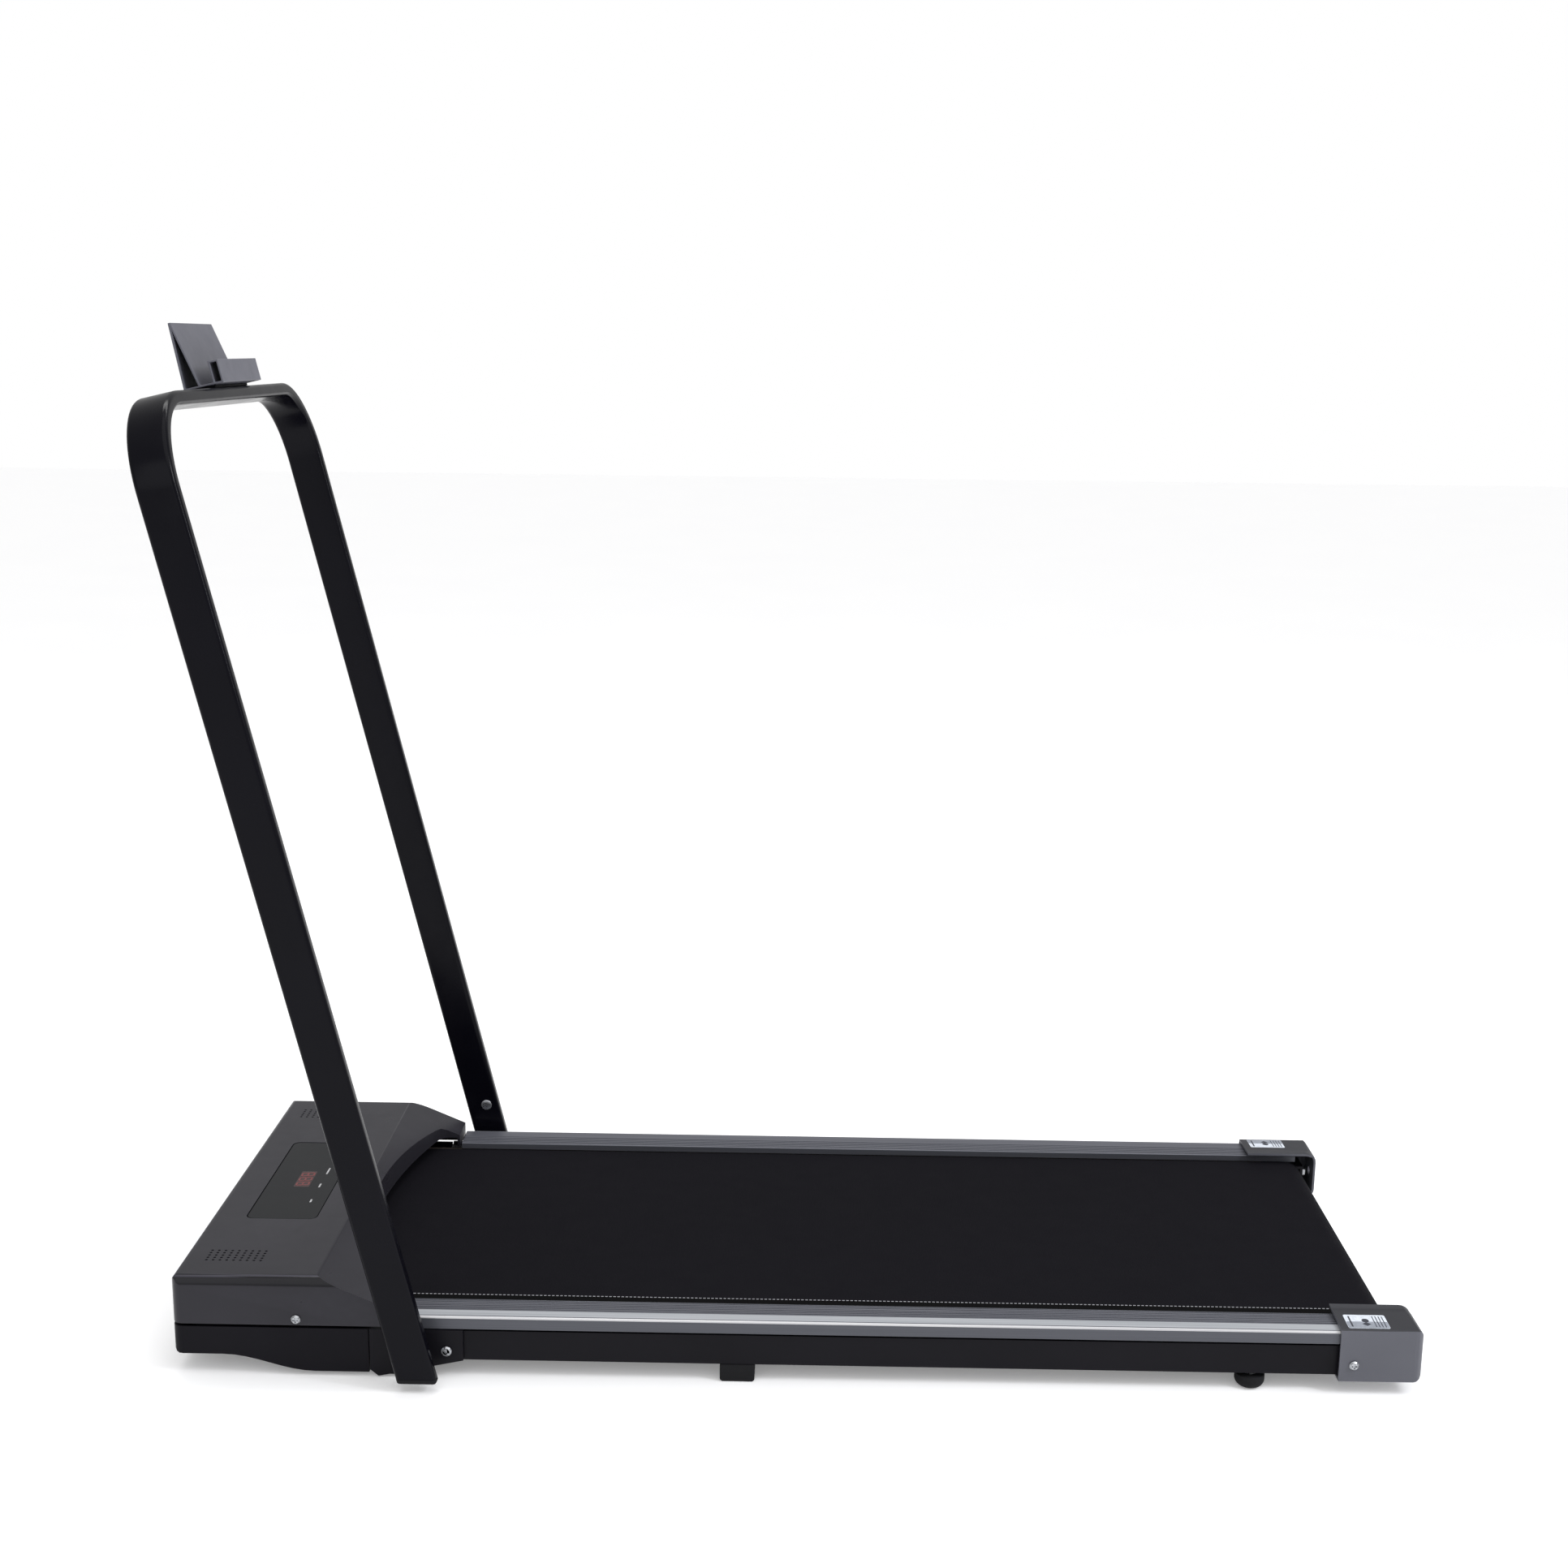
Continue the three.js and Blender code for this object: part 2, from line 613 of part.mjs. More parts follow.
// Plan of the opening over the belt: an arch with a small fillet where it meets the ears
function archPlan(inset) {
	const half = ARCH_HALF + inset;
	const fillet = 12;
	const reach = half - fillet;
	const steps = 16;
	const arch = Array.from({ length: steps + 1 }, (_, i) => reach * ((2 * i) / steps - 1))
		.map((y) => [archX(y) - inset, y]);
	const cornerX = archX(reach) + fillet * 0.9 - inset;
	const softened = archX(reach) + fillet * 0.28 - inset;
	return shapeOf([
		[HOOD_REAR + 2 * HOOD_WALL, -half],
		[cornerX, -half],
		[softened, -half + fillet * 0.3],
		...arch,
		[softened, half - fillet * 0.3],
		[cornerX, half],
		[HOOD_REAR + 2 * HOOD_WALL, half],
	]);
}

// Solid with the hood's outer form, shrunk by an inset
function hoodForm(inset, bottom) {
	const front = DECK_FRONT + inset;
	const rear = HOOD_REAR - inset;
	const top = HOOD_TOP - inset;
	const rearTop = HOOD_REAR_TOP - inset;
	const half = HALF_WIDTH - inset;
	const sideRadius = HOOD_SIDE_RADIUS - inset;
	const frontRadius = HOOD_FRONT_RADIUS - inset;
	const side = new THREE.Shape();
	side.moveTo(bottom, front);
	side.lineTo(top - frontRadius, front);
	side.absarc(top - frontRadius, front + frontRadius, frontRadius, -Math.PI / 2, 0);
	side.lineTo(top, HOOD_CREASE_X - 2);
	side.quadraticCurveTo(top, HOOD_CREASE_X, top - 0.85, HOOD_CREASE_X + 2);
	side.lineTo(rearTop, rear);
	side.lineTo(bottom, rear);
	const across = new THREE.Shape();
	across.moveTo(-half, bottom);
	across.lineTo(half, bottom);
	across.lineTo(half, top - sideRadius);
	across.absarc(half - sideRadius, top - sideRadius, sideRadius, 0, Math.PI / 2);
	across.lineTo(-half + sideRadius, top);
	across.absarc(-half + sideRadius, top - sideRadius, sideRadius, Math.PI / 2, Math.PI);
	return common(
		alongY(side, -half, half, 3),
		alongX(across, front - CUT, rear + CUT, 3),
		alongZ(panPlan(inset, rear), bottom - CUT, top + CUT, 2),
	);
}

// Plan with two rounded front corners, open for the rear edge to run straight
function panPlan(inset, rear) {
	const front = DECK_FRONT + inset;
	const half = HALF_WIDTH - inset;
	const radius = CORNER_RADIUS - inset;
	const plan = new THREE.Shape();
	plan.moveTo(rear, -half);
	plan.lineTo(rear, half);
	plan.lineTo(front + radius, half);
	plan.absarc(front + radius, half - radius, radius, Math.PI / 2, Math.PI);
	plan.lineTo(front, -half + radius);
	plan.absarc(front + radius, -half + radius, radius, Math.PI, 1.5 * Math.PI);
	return plan;
}

// Two grids of ventilation holes beside the display
function ventHoles() {
	const columns = 9;
	const rows = 5;
	const pitchX = 6.9;
	const pitchY = 5.5;
	const firstX = -599;
	const firstY = 184;
	const radius = 1.6;
	const holeZ = [HOOD_TOP - HOOD_WALL - CUT, HOOD_TOP + CUT];
	const profile = [[0, holeZ[0]], [radius, holeZ[0]], [radius, holeZ[1]], [0, holeZ[1]]];
	const holes = [];
	for (const side of [1, -1]) {
		for (let column = 0; column < columns; column += 1) {
			for (let row = 0; row < rows; row += 1) {
				const x = firstX + column * pitchX;
				const y = side * (firstY + row * pitchY);
				holes.push(turnedZ(profile, x, y, 6));
			}
		}
	}
	return holes;
}

const INLET = { y: [-164, -136], z: [66, 86] };
const SWITCH = { y: [-118, -97], z: [65, 87] };
const frontCutout = ({ y, z }) => box(
	[DECK_FRONT - CUT, DECK_FRONT + HOOD_WALL + CUT],
	[y[0] - GAP, y[1] + GAP], [z[0] - GAP, z[1] + GAP]);

function hood() {
	const archTop = HOOD_TOP + CUT;
	const lipZone = [HOOD_CREASE_X - 1, HOOD_REAR - HOOD_WALL];
	const innerHalf = HALF_WIDTH - HOOD_WALL;
	const cavity = cut(hoodForm(HOOD_WALL, HOOD_BOTTOM - CUT),
		alongZ(archPlan(HOOD_WALL), HOOD_BOTTOM - 2 * CUT, archTop));
	const displayHole = roundedRectangle(
		[DISPLAY_X[0] - 0.4, DISPLAY_X[1] + 0.4], [-DISPLAY_HALF - 0.4, DISPLAY_HALF + 0.4], DISPLAY_CORNER);
	return cut(
		hoodForm(0, HOOD_BOTTOM),
		cavity,
		alongZ(archPlan(0), HOOD_BOTTOM - CUT, archTop),
		box(lipZone, [-innerHalf, innerHalf], [HOOD_BOTTOM - CUT, ARCH_LIP_Z]),
		box([lipZone[1] - CUT, HOOD_REAR + CUT], [-innerHalf, innerHalf], [HOOD_BOTTOM - CUT, BELT_TOP + 2]),
		alongZ(displayHole, HOOD_TOP - HOOD_WALL - CUT, archTop),
		frontCutout(INLET),
		frontCutout(SWITCH),
		screwHole(HOOD_SCREW.x, HOOD_SCREW.z, -HALF_WIDTH - CUT, HALF_WIDTH + CUT),
		...ventHoles(),
	);
}

place('motor_hood', hood(), MATERIAL.hoodPlastic);
placePair('hood_screw', panScrew(HOOD_SCREW.x, HOOD_SCREW.z, HALF_WIDTH + GAP, 11), MATERIAL.zinc);

place('display_window', alongZ(
	roundedRectangle(DISPLAY_X, [-DISPLAY_HALF, DISPLAY_HALF], DISPLAY_CORNER),
	HOOD_TOP - HOOD_WALL, HOOD_TOP - 0.2, 3), MATERIAL.smokedPanel);

function displayBoard() {
	const boardZ = [91.5, 93];
	const boardX = [-583, -516];
	const boardHalf = 115;
	const posts = [-578, -521].flatMap((x) => [-1, 1].map((side) => {
		const y = side * (boardHalf - 4);
		return box([x - 2, x + 2], [y - 2, y + 2], [boardZ[1] - 0.5, HOOD_TOP - HOOD_WALL - GAP]);
	}));
	const digits = box([-568, -528], [-27, 23], [boardZ[1] - 0.5, HOOD_TOP - HOOD_WALL - 1]);
	return join(box(boardX, [-boardHalf, boardHalf], boardZ), digits, ...posts);
}

place('display_board', displayBoard(), MATERIAL.circuit);

// ---------------------------------------------------------------------------
// Power inlet and switch in the hood's front wall
// ---------------------------------------------------------------------------

function flangedBody({ y, z }, depth, flange) {
	const front = DECK_FRONT;
	return join(
		box([front - 2, front - GAP], [y[0] - flange, y[1] + flange], [z[0] - 2, z[1] + 2]),
		box([front - 1, front + depth], y, z),
	);
}

// Socket with three flat pins standing in its recess
function powerInlet() {
	const { y, z } = INLET;
	const recess = box([DECK_FRONT - 3, DECK_FRONT + 15], [y[0] + 2.5, y[1] - 2.5], [z[0] + 2.5, z[1] - 2.5]);
	const middle = { y: (y[0] + y[1]) / 2, z: (z[0] + z[1]) / 2 };
	const pins = [[-7, -1], [0, 3], [7, -1]].map(([dy, dz]) => box(
		[DECK_FRONT + 1, DECK_FRONT + 16],
		[middle.y + dy - 1, middle.y + dy + 1], [middle.z + dz - 2, middle.z + dz + 2]));
	return join(cut(flangedBody(INLET, 20, 8), recess), ...pins);
}

place('power_inlet', powerInlet(), MATERIAL.blackPlastic);

const ROCKER_X = DECK_FRONT + 2;
const ROCKER = { y: [-115, -100], z: [68, 84] };
const ROCKER_PIVOT_Z = (ROCKER.z[0] + ROCKER.z[1]) / 2;

place('switch_housing', cut(
	flangedBody(SWITCH, 16, 2),
	box(
		[DECK_FRONT - 3, DECK_FRONT + 12],
		[ROCKER.y[0] - 0.6, ROCKER.y[1] + 0.6],
		[ROCKER.z[0] - 1.5, ROCKER.z[1] + 1.5]),
), MATERIAL.blackPlastic);

// Rocker at "on" (its upper half pressed in): a shallow V front that stands proud at its lower end
place('power_switch', sideProfile([
	[ROCKER_X - 1, ROCKER.z[1]],
	[ROCKER_X + 6, ROCKER.z[1] - 4],
	[ROCKER_X + 6, ROCKER.z[0] + 4],
	[ROCKER_X - 4.6, ROCKER.z[0]],
	[ROCKER_X - 2.2, ROCKER_PIVOT_Z],
], ...ROCKER.y), MATERIAL.blackPlastic);

// ---------------------------------------------------------------------------
// Lower pan and transport wheels
// ---------------------------------------------------------------------------

const WHEEL_X = -590;
const WHEEL_Z = 21;
const WHEEL_RADIUS = 18;
const WHEEL_Y = 185;
const WHEEL_HALF = 7;
const WHEEL_PIN_RADIUS = 4;
const WHEEL_PIN_HALF = 16;

// Underside line: flat at the front, dropping in a smooth wave to the belly
function undersidePoints(inset) {
	const start = -575;
	const end = -482;
	const steps = 8;
	return Array.from({ length: steps + 1 }, (_, i) => {
		const x = start + (i / steps) * (end - start);
		const drop = (1 - Math.cos((Math.PI * i) / steps)) / 2;
		return [x, PAN_BOTTOM + inset - drop * (PAN_BOTTOM - PAN_BELLY)];
	});
}

function panForm(inset, top, rear) {
	const front = DECK_FRONT + inset;
	const half = HALF_WIDTH - inset;
	const radius = 6 - inset;
	const corner = Array.from({ length: 4 }, (_, i) => {
		const angle = Math.PI + (i / 3) * (Math.PI / 2);
		return [front + radius + radius * Math.cos(angle), PAN_BOTTOM + inset + radius + radius * Math.sin(angle)];
	});
	const profile = [[front, top], ...corner, ...undersidePoints(inset), [rear, PAN_BELLY + inset], [rear, top]];
	return common(
		sideProfile(profile, -half, half),
		alongZ(panPlan(inset, rear + CUT), PAN_BELLY - CUT, top + CUT, 2),
	);
}

function lowerPan() {
	const innerHalf = HALF_WIDTH - PAN_WALL;
	const shell = cut(
		panForm(0, PAN_TOP, PAN_REAR),
		panForm(PAN_WALL, PAN_TOP + CUT, PAN_REAR - PAN_WALL),
		box([PAN_REAR - 2 * PAN_WALL, PAN_REAR + CUT], [-innerHalf, innerHalf], [RAIL_BOTTOM - 1, PAN_TOP + CUT]),
	);
	const sides = [1, -1];
	const lugs = sides.flatMap((side) => [-1, 1].map((edge) => {
		const y = side * WHEEL_Y + edge * (WHEEL_HALF + 5.5);
		return box([WHEEL_X - 7, WHEEL_X + 7], [y - 2.5, y + 2.5], [14, PAN_BOTTOM + PAN_WALL + 6]);
	}));
	const wells = sides.map((side) => box(
		[WHEEL_X - WHEEL_RADIUS - 3, WHEEL_X + WHEEL_RADIUS + 3],
		[side * WHEEL_Y - WHEEL_HALF - 2, side * WHEEL_Y + WHEEL_HALF + 2],
		[10, PAN_BOTTOM + PAN_WALL + 8]));
	const pinHoles = sides.map((side) => rodY(
		WHEEL_PIN_RADIUS + HOLE_CLEARANCE,
		side * WHEEL_Y - WHEEL_PIN_HALF - GAP, side * WHEEL_Y + WHEEL_PIN_HALF + GAP, WHEEL_X, WHEEL_Z, 12));
	return cut(join(shell, ...lugs), ...wells, ...pinHoles);
}

place('lower_pan', lowerPan(), MATERIAL.blackPlastic);

placePair('transport_wheel', ringY(
	WHEEL_PIN_RADIUS + GAP, WHEEL_RADIUS, WHEEL_Y - WHEEL_HALF, WHEEL_Y + WHEEL_HALF, WHEEL_X, WHEEL_Z, 28,
), MATERIAL.rubber);
placePair('wheel_pin', rodY(
	WHEEL_PIN_RADIUS, WHEEL_Y - WHEEL_PIN_HALF, WHEEL_Y + WHEEL_PIN_HALF, WHEEL_X, WHEEL_Z, 12,
), MATERIAL.steel);

// ---------------------------------------------------------------------------
// Rear end caps
// ---------------------------------------------------------------------------

const CAP_FRONT = 541;
const CAP_OUTER = 248.5;
const CAP_INNER = 204;
const CAP_LID_INNER = 196;
const CAP_LID_THICKNESS = 4;
const CAP_BOTTOM = 15;
const CAP_TOP = 72.6;
const CAP_SLOPE_START = 212; // Y at which the lid starts to fall outwards
const CAP_SHOULDER = 70.4; // height of the lid at its outer edge
const CAP_WALL = 2.5;
const CAP_CORNER = 10; // rounding of the rear outer corner, in plan
const CAP_TOP_RADIUS = 14; // rounding of the rear edge of the lid
const CAP_BOTTOM_RADIUS = 9;
const CAP_EDGE_RADIUS = 3; // rounding along the outer edge of the lid

// Plan of the far cap
function capPlan(inner, inset, front) {
	const rear = DECK_REAR - inset;
	const outer = CAP_OUTER - inset;
	const radius = CAP_CORNER - inset;
	const plan = new THREE.Shape();
	plan.moveTo(front, inner);
	plan.lineTo(rear, inner);
	plan.lineTo(rear, outer - radius);
	plan.absarc(rear - radius, outer - radius, radius, 0, Math.PI / 2);
	plan.lineTo(front, outer);
	return plan;
}

// Side view, as (z, x) points, with the rear's upper and lower corners rounded
function capSide(inset, front) {
	const rear = DECK_REAR - inset;
	const top = CAP_TOP - inset;
	const bottom = CAP_BOTTOM + inset;
	const upper = CAP_TOP_RADIUS - inset;
	const lower = CAP_BOTTOM_RADIUS - inset;
	const side = new THREE.Shape();
	side.moveTo(bottom, front);
	side.lineTo(top, front);
	side.lineTo(top, rear - upper);
	side.absarc(top - upper, rear - upper, upper, 0, Math.PI / 2);
	side.lineTo(bottom + lower, rear);
	side.absarc(bottom + lower, rear - lower, lower, Math.PI / 2, Math.PI);
	return side;
}

// Section with a low step along the lid, a fall towards the outside and a rounded outer edge
function capSection(inset, inner) {
	const outer = CAP_OUTER - inset;
	const top = CAP_TOP - inset;
	const shoulder = CAP_SHOULDER - inset;
	const radius = CAP_EDGE_RADIUS - inset;
	const step = [CAP_LID_INNER + 9, CAP_LID_INNER + 11];
	const stepDepth = 0.8;
	const section = new THREE.Shape();
	section.moveTo(inner, CAP_BOTTOM + inset);
	section.lineTo(outer, CAP_BOTTOM + inset);
	section.lineTo(outer, shoulder - radius);
	section.absarc(outer - radius, shoulder - radius, radius, 0, Math.PI / 2);
	section.lineTo(CAP_SLOPE_START, top - stepDepth);
	section.lineTo(step[1], top - stepDepth);
	section.lineTo(step[0], top);
	section.lineTo(inner, top);
	return section;
}

function capForm(inner, inset, front) {
	return common(
		alongZ(capPlan(inner, inset, front), CAP_BOTTOM - CUT, CAP_TOP + CUT, 2),
		alongX(capSection(inset, inner), front, DECK_REAR + CUT, 2),
		alongY(capSide(inset, front), inner, CAP_OUTER + CUT, 3),
	);
}

function endCap() {
	return cut(
		capForm(CAP_LID_INNER, 0, CAP_FRONT),
		capForm(CAP_LID_INNER - CUT, CAP_WALL, CAP_FRONT - CUT),
		box([CAP_FRONT - CUT, DECK_REAR + CUT], [CAP_LID_INNER - 2 * CUT, CAP_INNER],
			[CAP_BOTTOM - CUT, CAP_TOP - CAP_LID_THICKNESS]),
		screwHole(CAP_SCREW.x, CAP_SCREW.z, CAP_OUTER - CAP_WALL - CUT, CAP_OUTER + CUT),
		rodX(5, DECK_REAR - CAP_WALL - CUT, DECK_REAR + CUT, BOLT_ROW, AXLE_HEIGHT, 12),
	);
}

placePair('end_cap', endCap(), MATERIAL.capPlastic);
placePair('end_cap_screw', panScrew(CAP_SCREW.x, CAP_SCREW.z, CAP_OUTER + GAP, 12), MATERIAL.zinc);

// ---------------------------------------------------------------------------
// Feet
// ---------------------------------------------------------------------------

const FOOT_TOP = RAIL_BOTTOM - GAP;

// Rubber block with small chamfers round its sole
function blockFoot([x0, x1], [y0, y1]) {
	const chamfer = 2;
	return common(
		box([x0, x1], [y0, y1], [0, FOOT_TOP]),
		sideProfile([
			[x0 + chamfer, 0], [x1 - chamfer, 0], [x1, chamfer], [x1, FOOT_TOP], [x0, FOOT_TOP], [x0, chamfer],
		], y0 - CUT, y1 + CUT),
	);
}

placePair('front_foot', blockFoot([-424, -392], [218, 240]), MATERIAL.rubber);
placePair('middle_foot', blockFoot([-76, -41], [214, 243]), MATERIAL.rubber);

const REAR_FOOT = { x: 457, y: 229, radius: 15, height: 14 };

placePair('rear_foot', turnedZ([
	[0, 0],
	[REAR_FOOT.radius - 8, 0],
	[REAR_FOOT.radius - 3.5, 1.8],
	[REAR_FOOT.radius - 1, 4.5],
	[REAR_FOOT.radius, 8],
	[REAR_FOOT.radius, REAR_FOOT.height - 1],
	[REAR_FOOT.radius - 1, REAR_FOOT.height],
	[0, REAR_FOOT.height],
], REAR_FOOT.x, REAR_FOOT.y, 24), MATERIAL.rubber);

placePair('rear_foot_nut',
	hexPrismZ(8, REAR_FOOT.height + GAP, FOOT_TOP, REAR_FOOT.x, REAR_FOOT.y), MATERIAL.zinc);

// ---------------------------------------------------------------------------
// Pivot
// ---------------------------------------------------------------------------

const BRACKET_Y = [242, 246];
const LEG_INNER = HANDRAIL_HALF - TUBE_THICKNESS;

function pivotBracket() {
	const plate = sideProfile([
		[-427, 52.3],
		[-427, 8],
		[-419, 1.2],
		[-333, 19.5],
		[-333, 52.3],
	], ...BRACKET_Y);
	return cut(
		plate,
		rodY(PIVOT_BOLT_RADIUS + HOLE_CLEARANCE, BRACKET_Y[0] - CUT, BRACKET_Y[1] + CUT, PIVOT_X, PIVOT_Z, 16),
		screwHole(BRACKET_SCREW.x, BRACKET_SCREW.z, BRACKET_Y[0] - CUT, BRACKET_Y[1] + CUT),
	);
}

placePair('pivot_bracket', pivotBracket(), MATERIAL.blackSteel);
placePair('bracket_screw',
	panScrew(BRACKET_SCREW.x, BRACKET_SCREW.z, BRACKET_Y[1] + GAP, 10, 5.5), MATERIAL.zinc);

// Shoulder bolt: head inside the rail, collar between bracket and leg, nut inside the leg's tube
placePair('pivot_bolt', turnedY([
	[0, 229],
	[8, 229],
	[8, RAIL_OUTER - RAIL_WALL - GAP],
	[PIVOT_BOLT_RADIUS, RAIL_OUTER - RAIL_WALL - GAP],
	[PIVOT_BOLT_RADIUS, BRACKET_Y[1] + GAP],
	[9, BRACKET_Y[1] + GAP],
	[9, LEG_INNER - GAP],
	[PIVOT_BOLT_RADIUS, LEG_INNER - GAP],
	[PIVOT_BOLT_RADIUS, LEG_INNER + TUBE_WALL + GAP],
	[8, LEG_INNER + TUBE_WALL + GAP],
	[8, LEG_INNER + TUBE_WALL + 6],
	[0, LEG_INNER + TUBE_WALL + 6],
], PIVOT_X, PIVOT_Z, 16), MATERIAL.zinc);

// ---------------------------------------------------------------------------
// Handrail, in its own upright frame with the pivot at the origin
// ---------------------------------------------------------------------------

// Path through given stations, each one step of the extrusion
class StationPath extends THREE.Curve {
	constructor(stations) {
		super();
		this.stations = stations;
	}

	getPoint(t, target = new THREE.Vector3()) {
		const last = this.stations.length - 1;
		const i = Math.min(Math.floor(t * last), last - 1);
		return target.lerpVectors(this.stations[i], this.stations[i + 1], t * last - i);
	}

	getPointAt(u, target) {
		return this.getPoint(u, target);
	}

	getTangentAt(u, target) {
		return this.getTangent(u, target);
	}
}

const LEG_Y = HANDRAIL_HALF - TUBE_THICKNESS / 2;
const LEG_START = -40;
const CROSSBAR_Z = HANDRAIL_HEIGHT - TUBE_THICKNESS / 2;
const BEND_STEPS = 8;

// Centre line of the U, from the foot of the near leg to the foot of the far leg
function handrailStations() {
	const bend = (side, from, to) => Array.from({ length: BEND_STEPS + 1 }, (_, i) => {
		const angle = from + (i / BEND_STEPS) * (to - from);
		const y = LEG_Y - BEND_RADIUS + BEND_RADIUS * Math.cos(angle);
		return new THREE.Vector3(0, side * y, CROSSBAR_Z - BEND_RADIUS + BEND_RADIUS * Math.sin(angle));
	});
	return [
		new THREE.Vector3(0, -LEG_Y, LEG_START),
		...bend(-1, 0, Math.PI / 2),
		...bend(1, Math.PI / 2, 0),
		new THREE.Vector3(0, LEG_Y, LEG_START),
	];
}

// Rectangle of the tube's section, with its sides moved in by an inset
const tubeSection = (first, second, inset) => roundedRectangle(
	[-first / 2 + inset, first / 2 - inset],
	[-second / 2 + inset, second / 2 - inset], TUBE_CORNER - inset);

// Height, in the handrail's frame, of a line that is level at rest
const levelLine = (restZ, x) => (restZ - PIVOT_Z) / Math.cos(LEAN) - Math.tan(LEAN) * x;
const LEVEL_REACH = 40;

function levelWedge(restZ, limit) {
	return sideProfile([
		[-LEVEL_REACH, levelLine(restZ, -LEVEL_REACH)],
		[-LEVEL_REACH, limit],
		[LEVEL_REACH, limit],
		[LEVEL_REACH, levelLine(restZ, LEVEL_REACH)],
	], -HANDRAIL_HALF - CUT, HANDRAIL_HALF + CUT);
}

const belowLevel = (restZ) => levelWedge(restZ, -2 * LEVEL_REACH);
const aboveLevel = (restZ) => levelWedge(restZ, LEVEL_REACH);

function handrailTube() {
	const stations = handrailStations();
	const section = tubeSection(TUBE_THICKNESS, TUBE_WIDTH, 0);
	section.holes.push(tubeSection(TUBE_THICKNESS, TUBE_WIDTH, TUBE_WALL));
	const tube = new THREE.ExtrudeGeometry(section, {
		steps: stations.length - 1,
		extrudePath: new StationPath(stations),
		curveSegments: 2,
	});
	const reach = [LEG_INNER - CUT, LEG_INNER + TUBE_WALL + CUT];
	const through = (side, radius, x, z) => {
		const [y0, y1] = side > 0 ? reach : [-reach[1], -reach[0]];
		return rodY(radius, y0, y1, x, z, 12);
	};
	return cut(
		tube,
		belowLevel(LEG_BOTTOM_Z + PLUG_HEIGHT),
		...[1, -1].flatMap((side) => [
			through(side, PIVOT_BOLT_RADIUS + HOLE_CLEARANCE, 0, 0),
			through(side, STOP_BOLT_RADIUS + HOLE_CLEARANCE, STOP_BOLT_X, STOP_BOLT_HEIGHT),
		]),
	);
}

place('handrail', handrailTube(), MATERIAL.handrailPaint, handrail);

// Rubber plug: a sole the size of the tube, with a spigot inside it. Its rear corner is rounded about
// the pivot so that it swings clear of the floor.
function legPlug() {
	const upright = (shape, z0, z1) => alongZ(shape, z0, z1, 2).translate(0, LEG_Y, 0);
	const swing = rodY(PIVOT_Z - FLOOR_CLEARANCE, LEG_INNER - CUT, HANDRAIL_HALF + CUT, 0, 0, 48);
	const sole = cut(
		upright(tubeSection(TUBE_WIDTH, TUBE_THICKNESS, 0), LEG_START - 5, -8),
		aboveLevel(LEG_BOTTOM_Z + PLUG_HEIGHT - GAP),
		belowLevel(LEG_BOTTOM_Z));
	const spigot = cut(
		upright(tubeSection(TUBE_WIDTH, TUBE_THICKNESS, TUBE_WALL + GAP), LEG_START - 5, -10),
		belowLevel(LEG_BOTTOM_Z + CUT));
	return common(join(sole, spigot), swing);
}

placePair('leg_plug', legPlug(), MATERIAL.rubber, handrail);

// Low button head on the inner face of each leg, shank through its wall
placePair('stop_bolt', turnedY([
	[0, LEG_INNER - 2.6],
	[3.5, LEG_INNER - 2.6],
	[6.5, LEG_INNER - 1.4],
	[6.5, LEG_INNER - GAP],
	[STOP_BOLT_RADIUS, LEG_INNER - GAP],
	[STOP_BOLT_RADIUS, LEG_INNER + TUBE_WALL + 5],
	[0, LEG_INNER + TUBE_WALL + 5],
], STOP_BOLT_X, STOP_BOLT_HEIGHT, 12), MATERIAL.zinc, handrail);

// ---------------------------------------------------------------------------
// Device holder on the crossbar
// ---------------------------------------------------------------------------

const HOLDER_HALF = 70;
const PAD_HEIGHT = 2.4;
const PAD_X = 15;
const PAD_HALF = HOLDER_HALF - 12;
const HOLDER_BASE = HANDRAIL_HEIGHT + GAP + PAD_HEIGHT + GAP;
const SHEET = 2;

// Folded sheet: hollow triangular back rest, base, pocket for the device and a boxed front lip
function deviceHolder() {
	const base = HOLDER_BASE;
	const floor = base + SHEET;
	const apex = base + 67;
	const lipTop = base + 23;
	const back = -13.6;
	const front = 27.5;
	const pocket = [3.6, 17];
	const outside = [
		[back, base],
		[front, base],
		[front, lipTop],
		[pocket[1], lipTop],
		[pocket[1], floor],
		[pocket[0], floor],
		[-8.1, apex],
		[-10.9, apex],
	];
	const fold = [[back + SHEET, floor], [pocket[0] - SHEET, floor], [-8.8, apex - 8]];
	const ends = HOLDER_HALF + CUT;
	return cut(
		sideProfile(outside, -HOLDER_HALF, HOLDER_HALF),
		sideProfile(fold, -ends, ends),
		box([pocket[1] + SHEET, front - SHEET], [-ends, ends], [floor, lipTop - SHEET]),
	);
}

place('device_holder', deviceHolder(), MATERIAL.holderPaint, handrail);
place('holder_pad', box(
	[-PAD_X, PAD_X],
	[-PAD_HALF, PAD_HALF],
	[HANDRAIL_HEIGHT + GAP, HANDRAIL_HEIGHT + GAP + PAD_HEIGHT],
), MATERIAL.rubber, handrail);

export default group;
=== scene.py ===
"""Looks of the folding treadmill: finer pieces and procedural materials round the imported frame."""

import json
import math

import bmesh
import bpy
from mathutils import Matrix, Vector


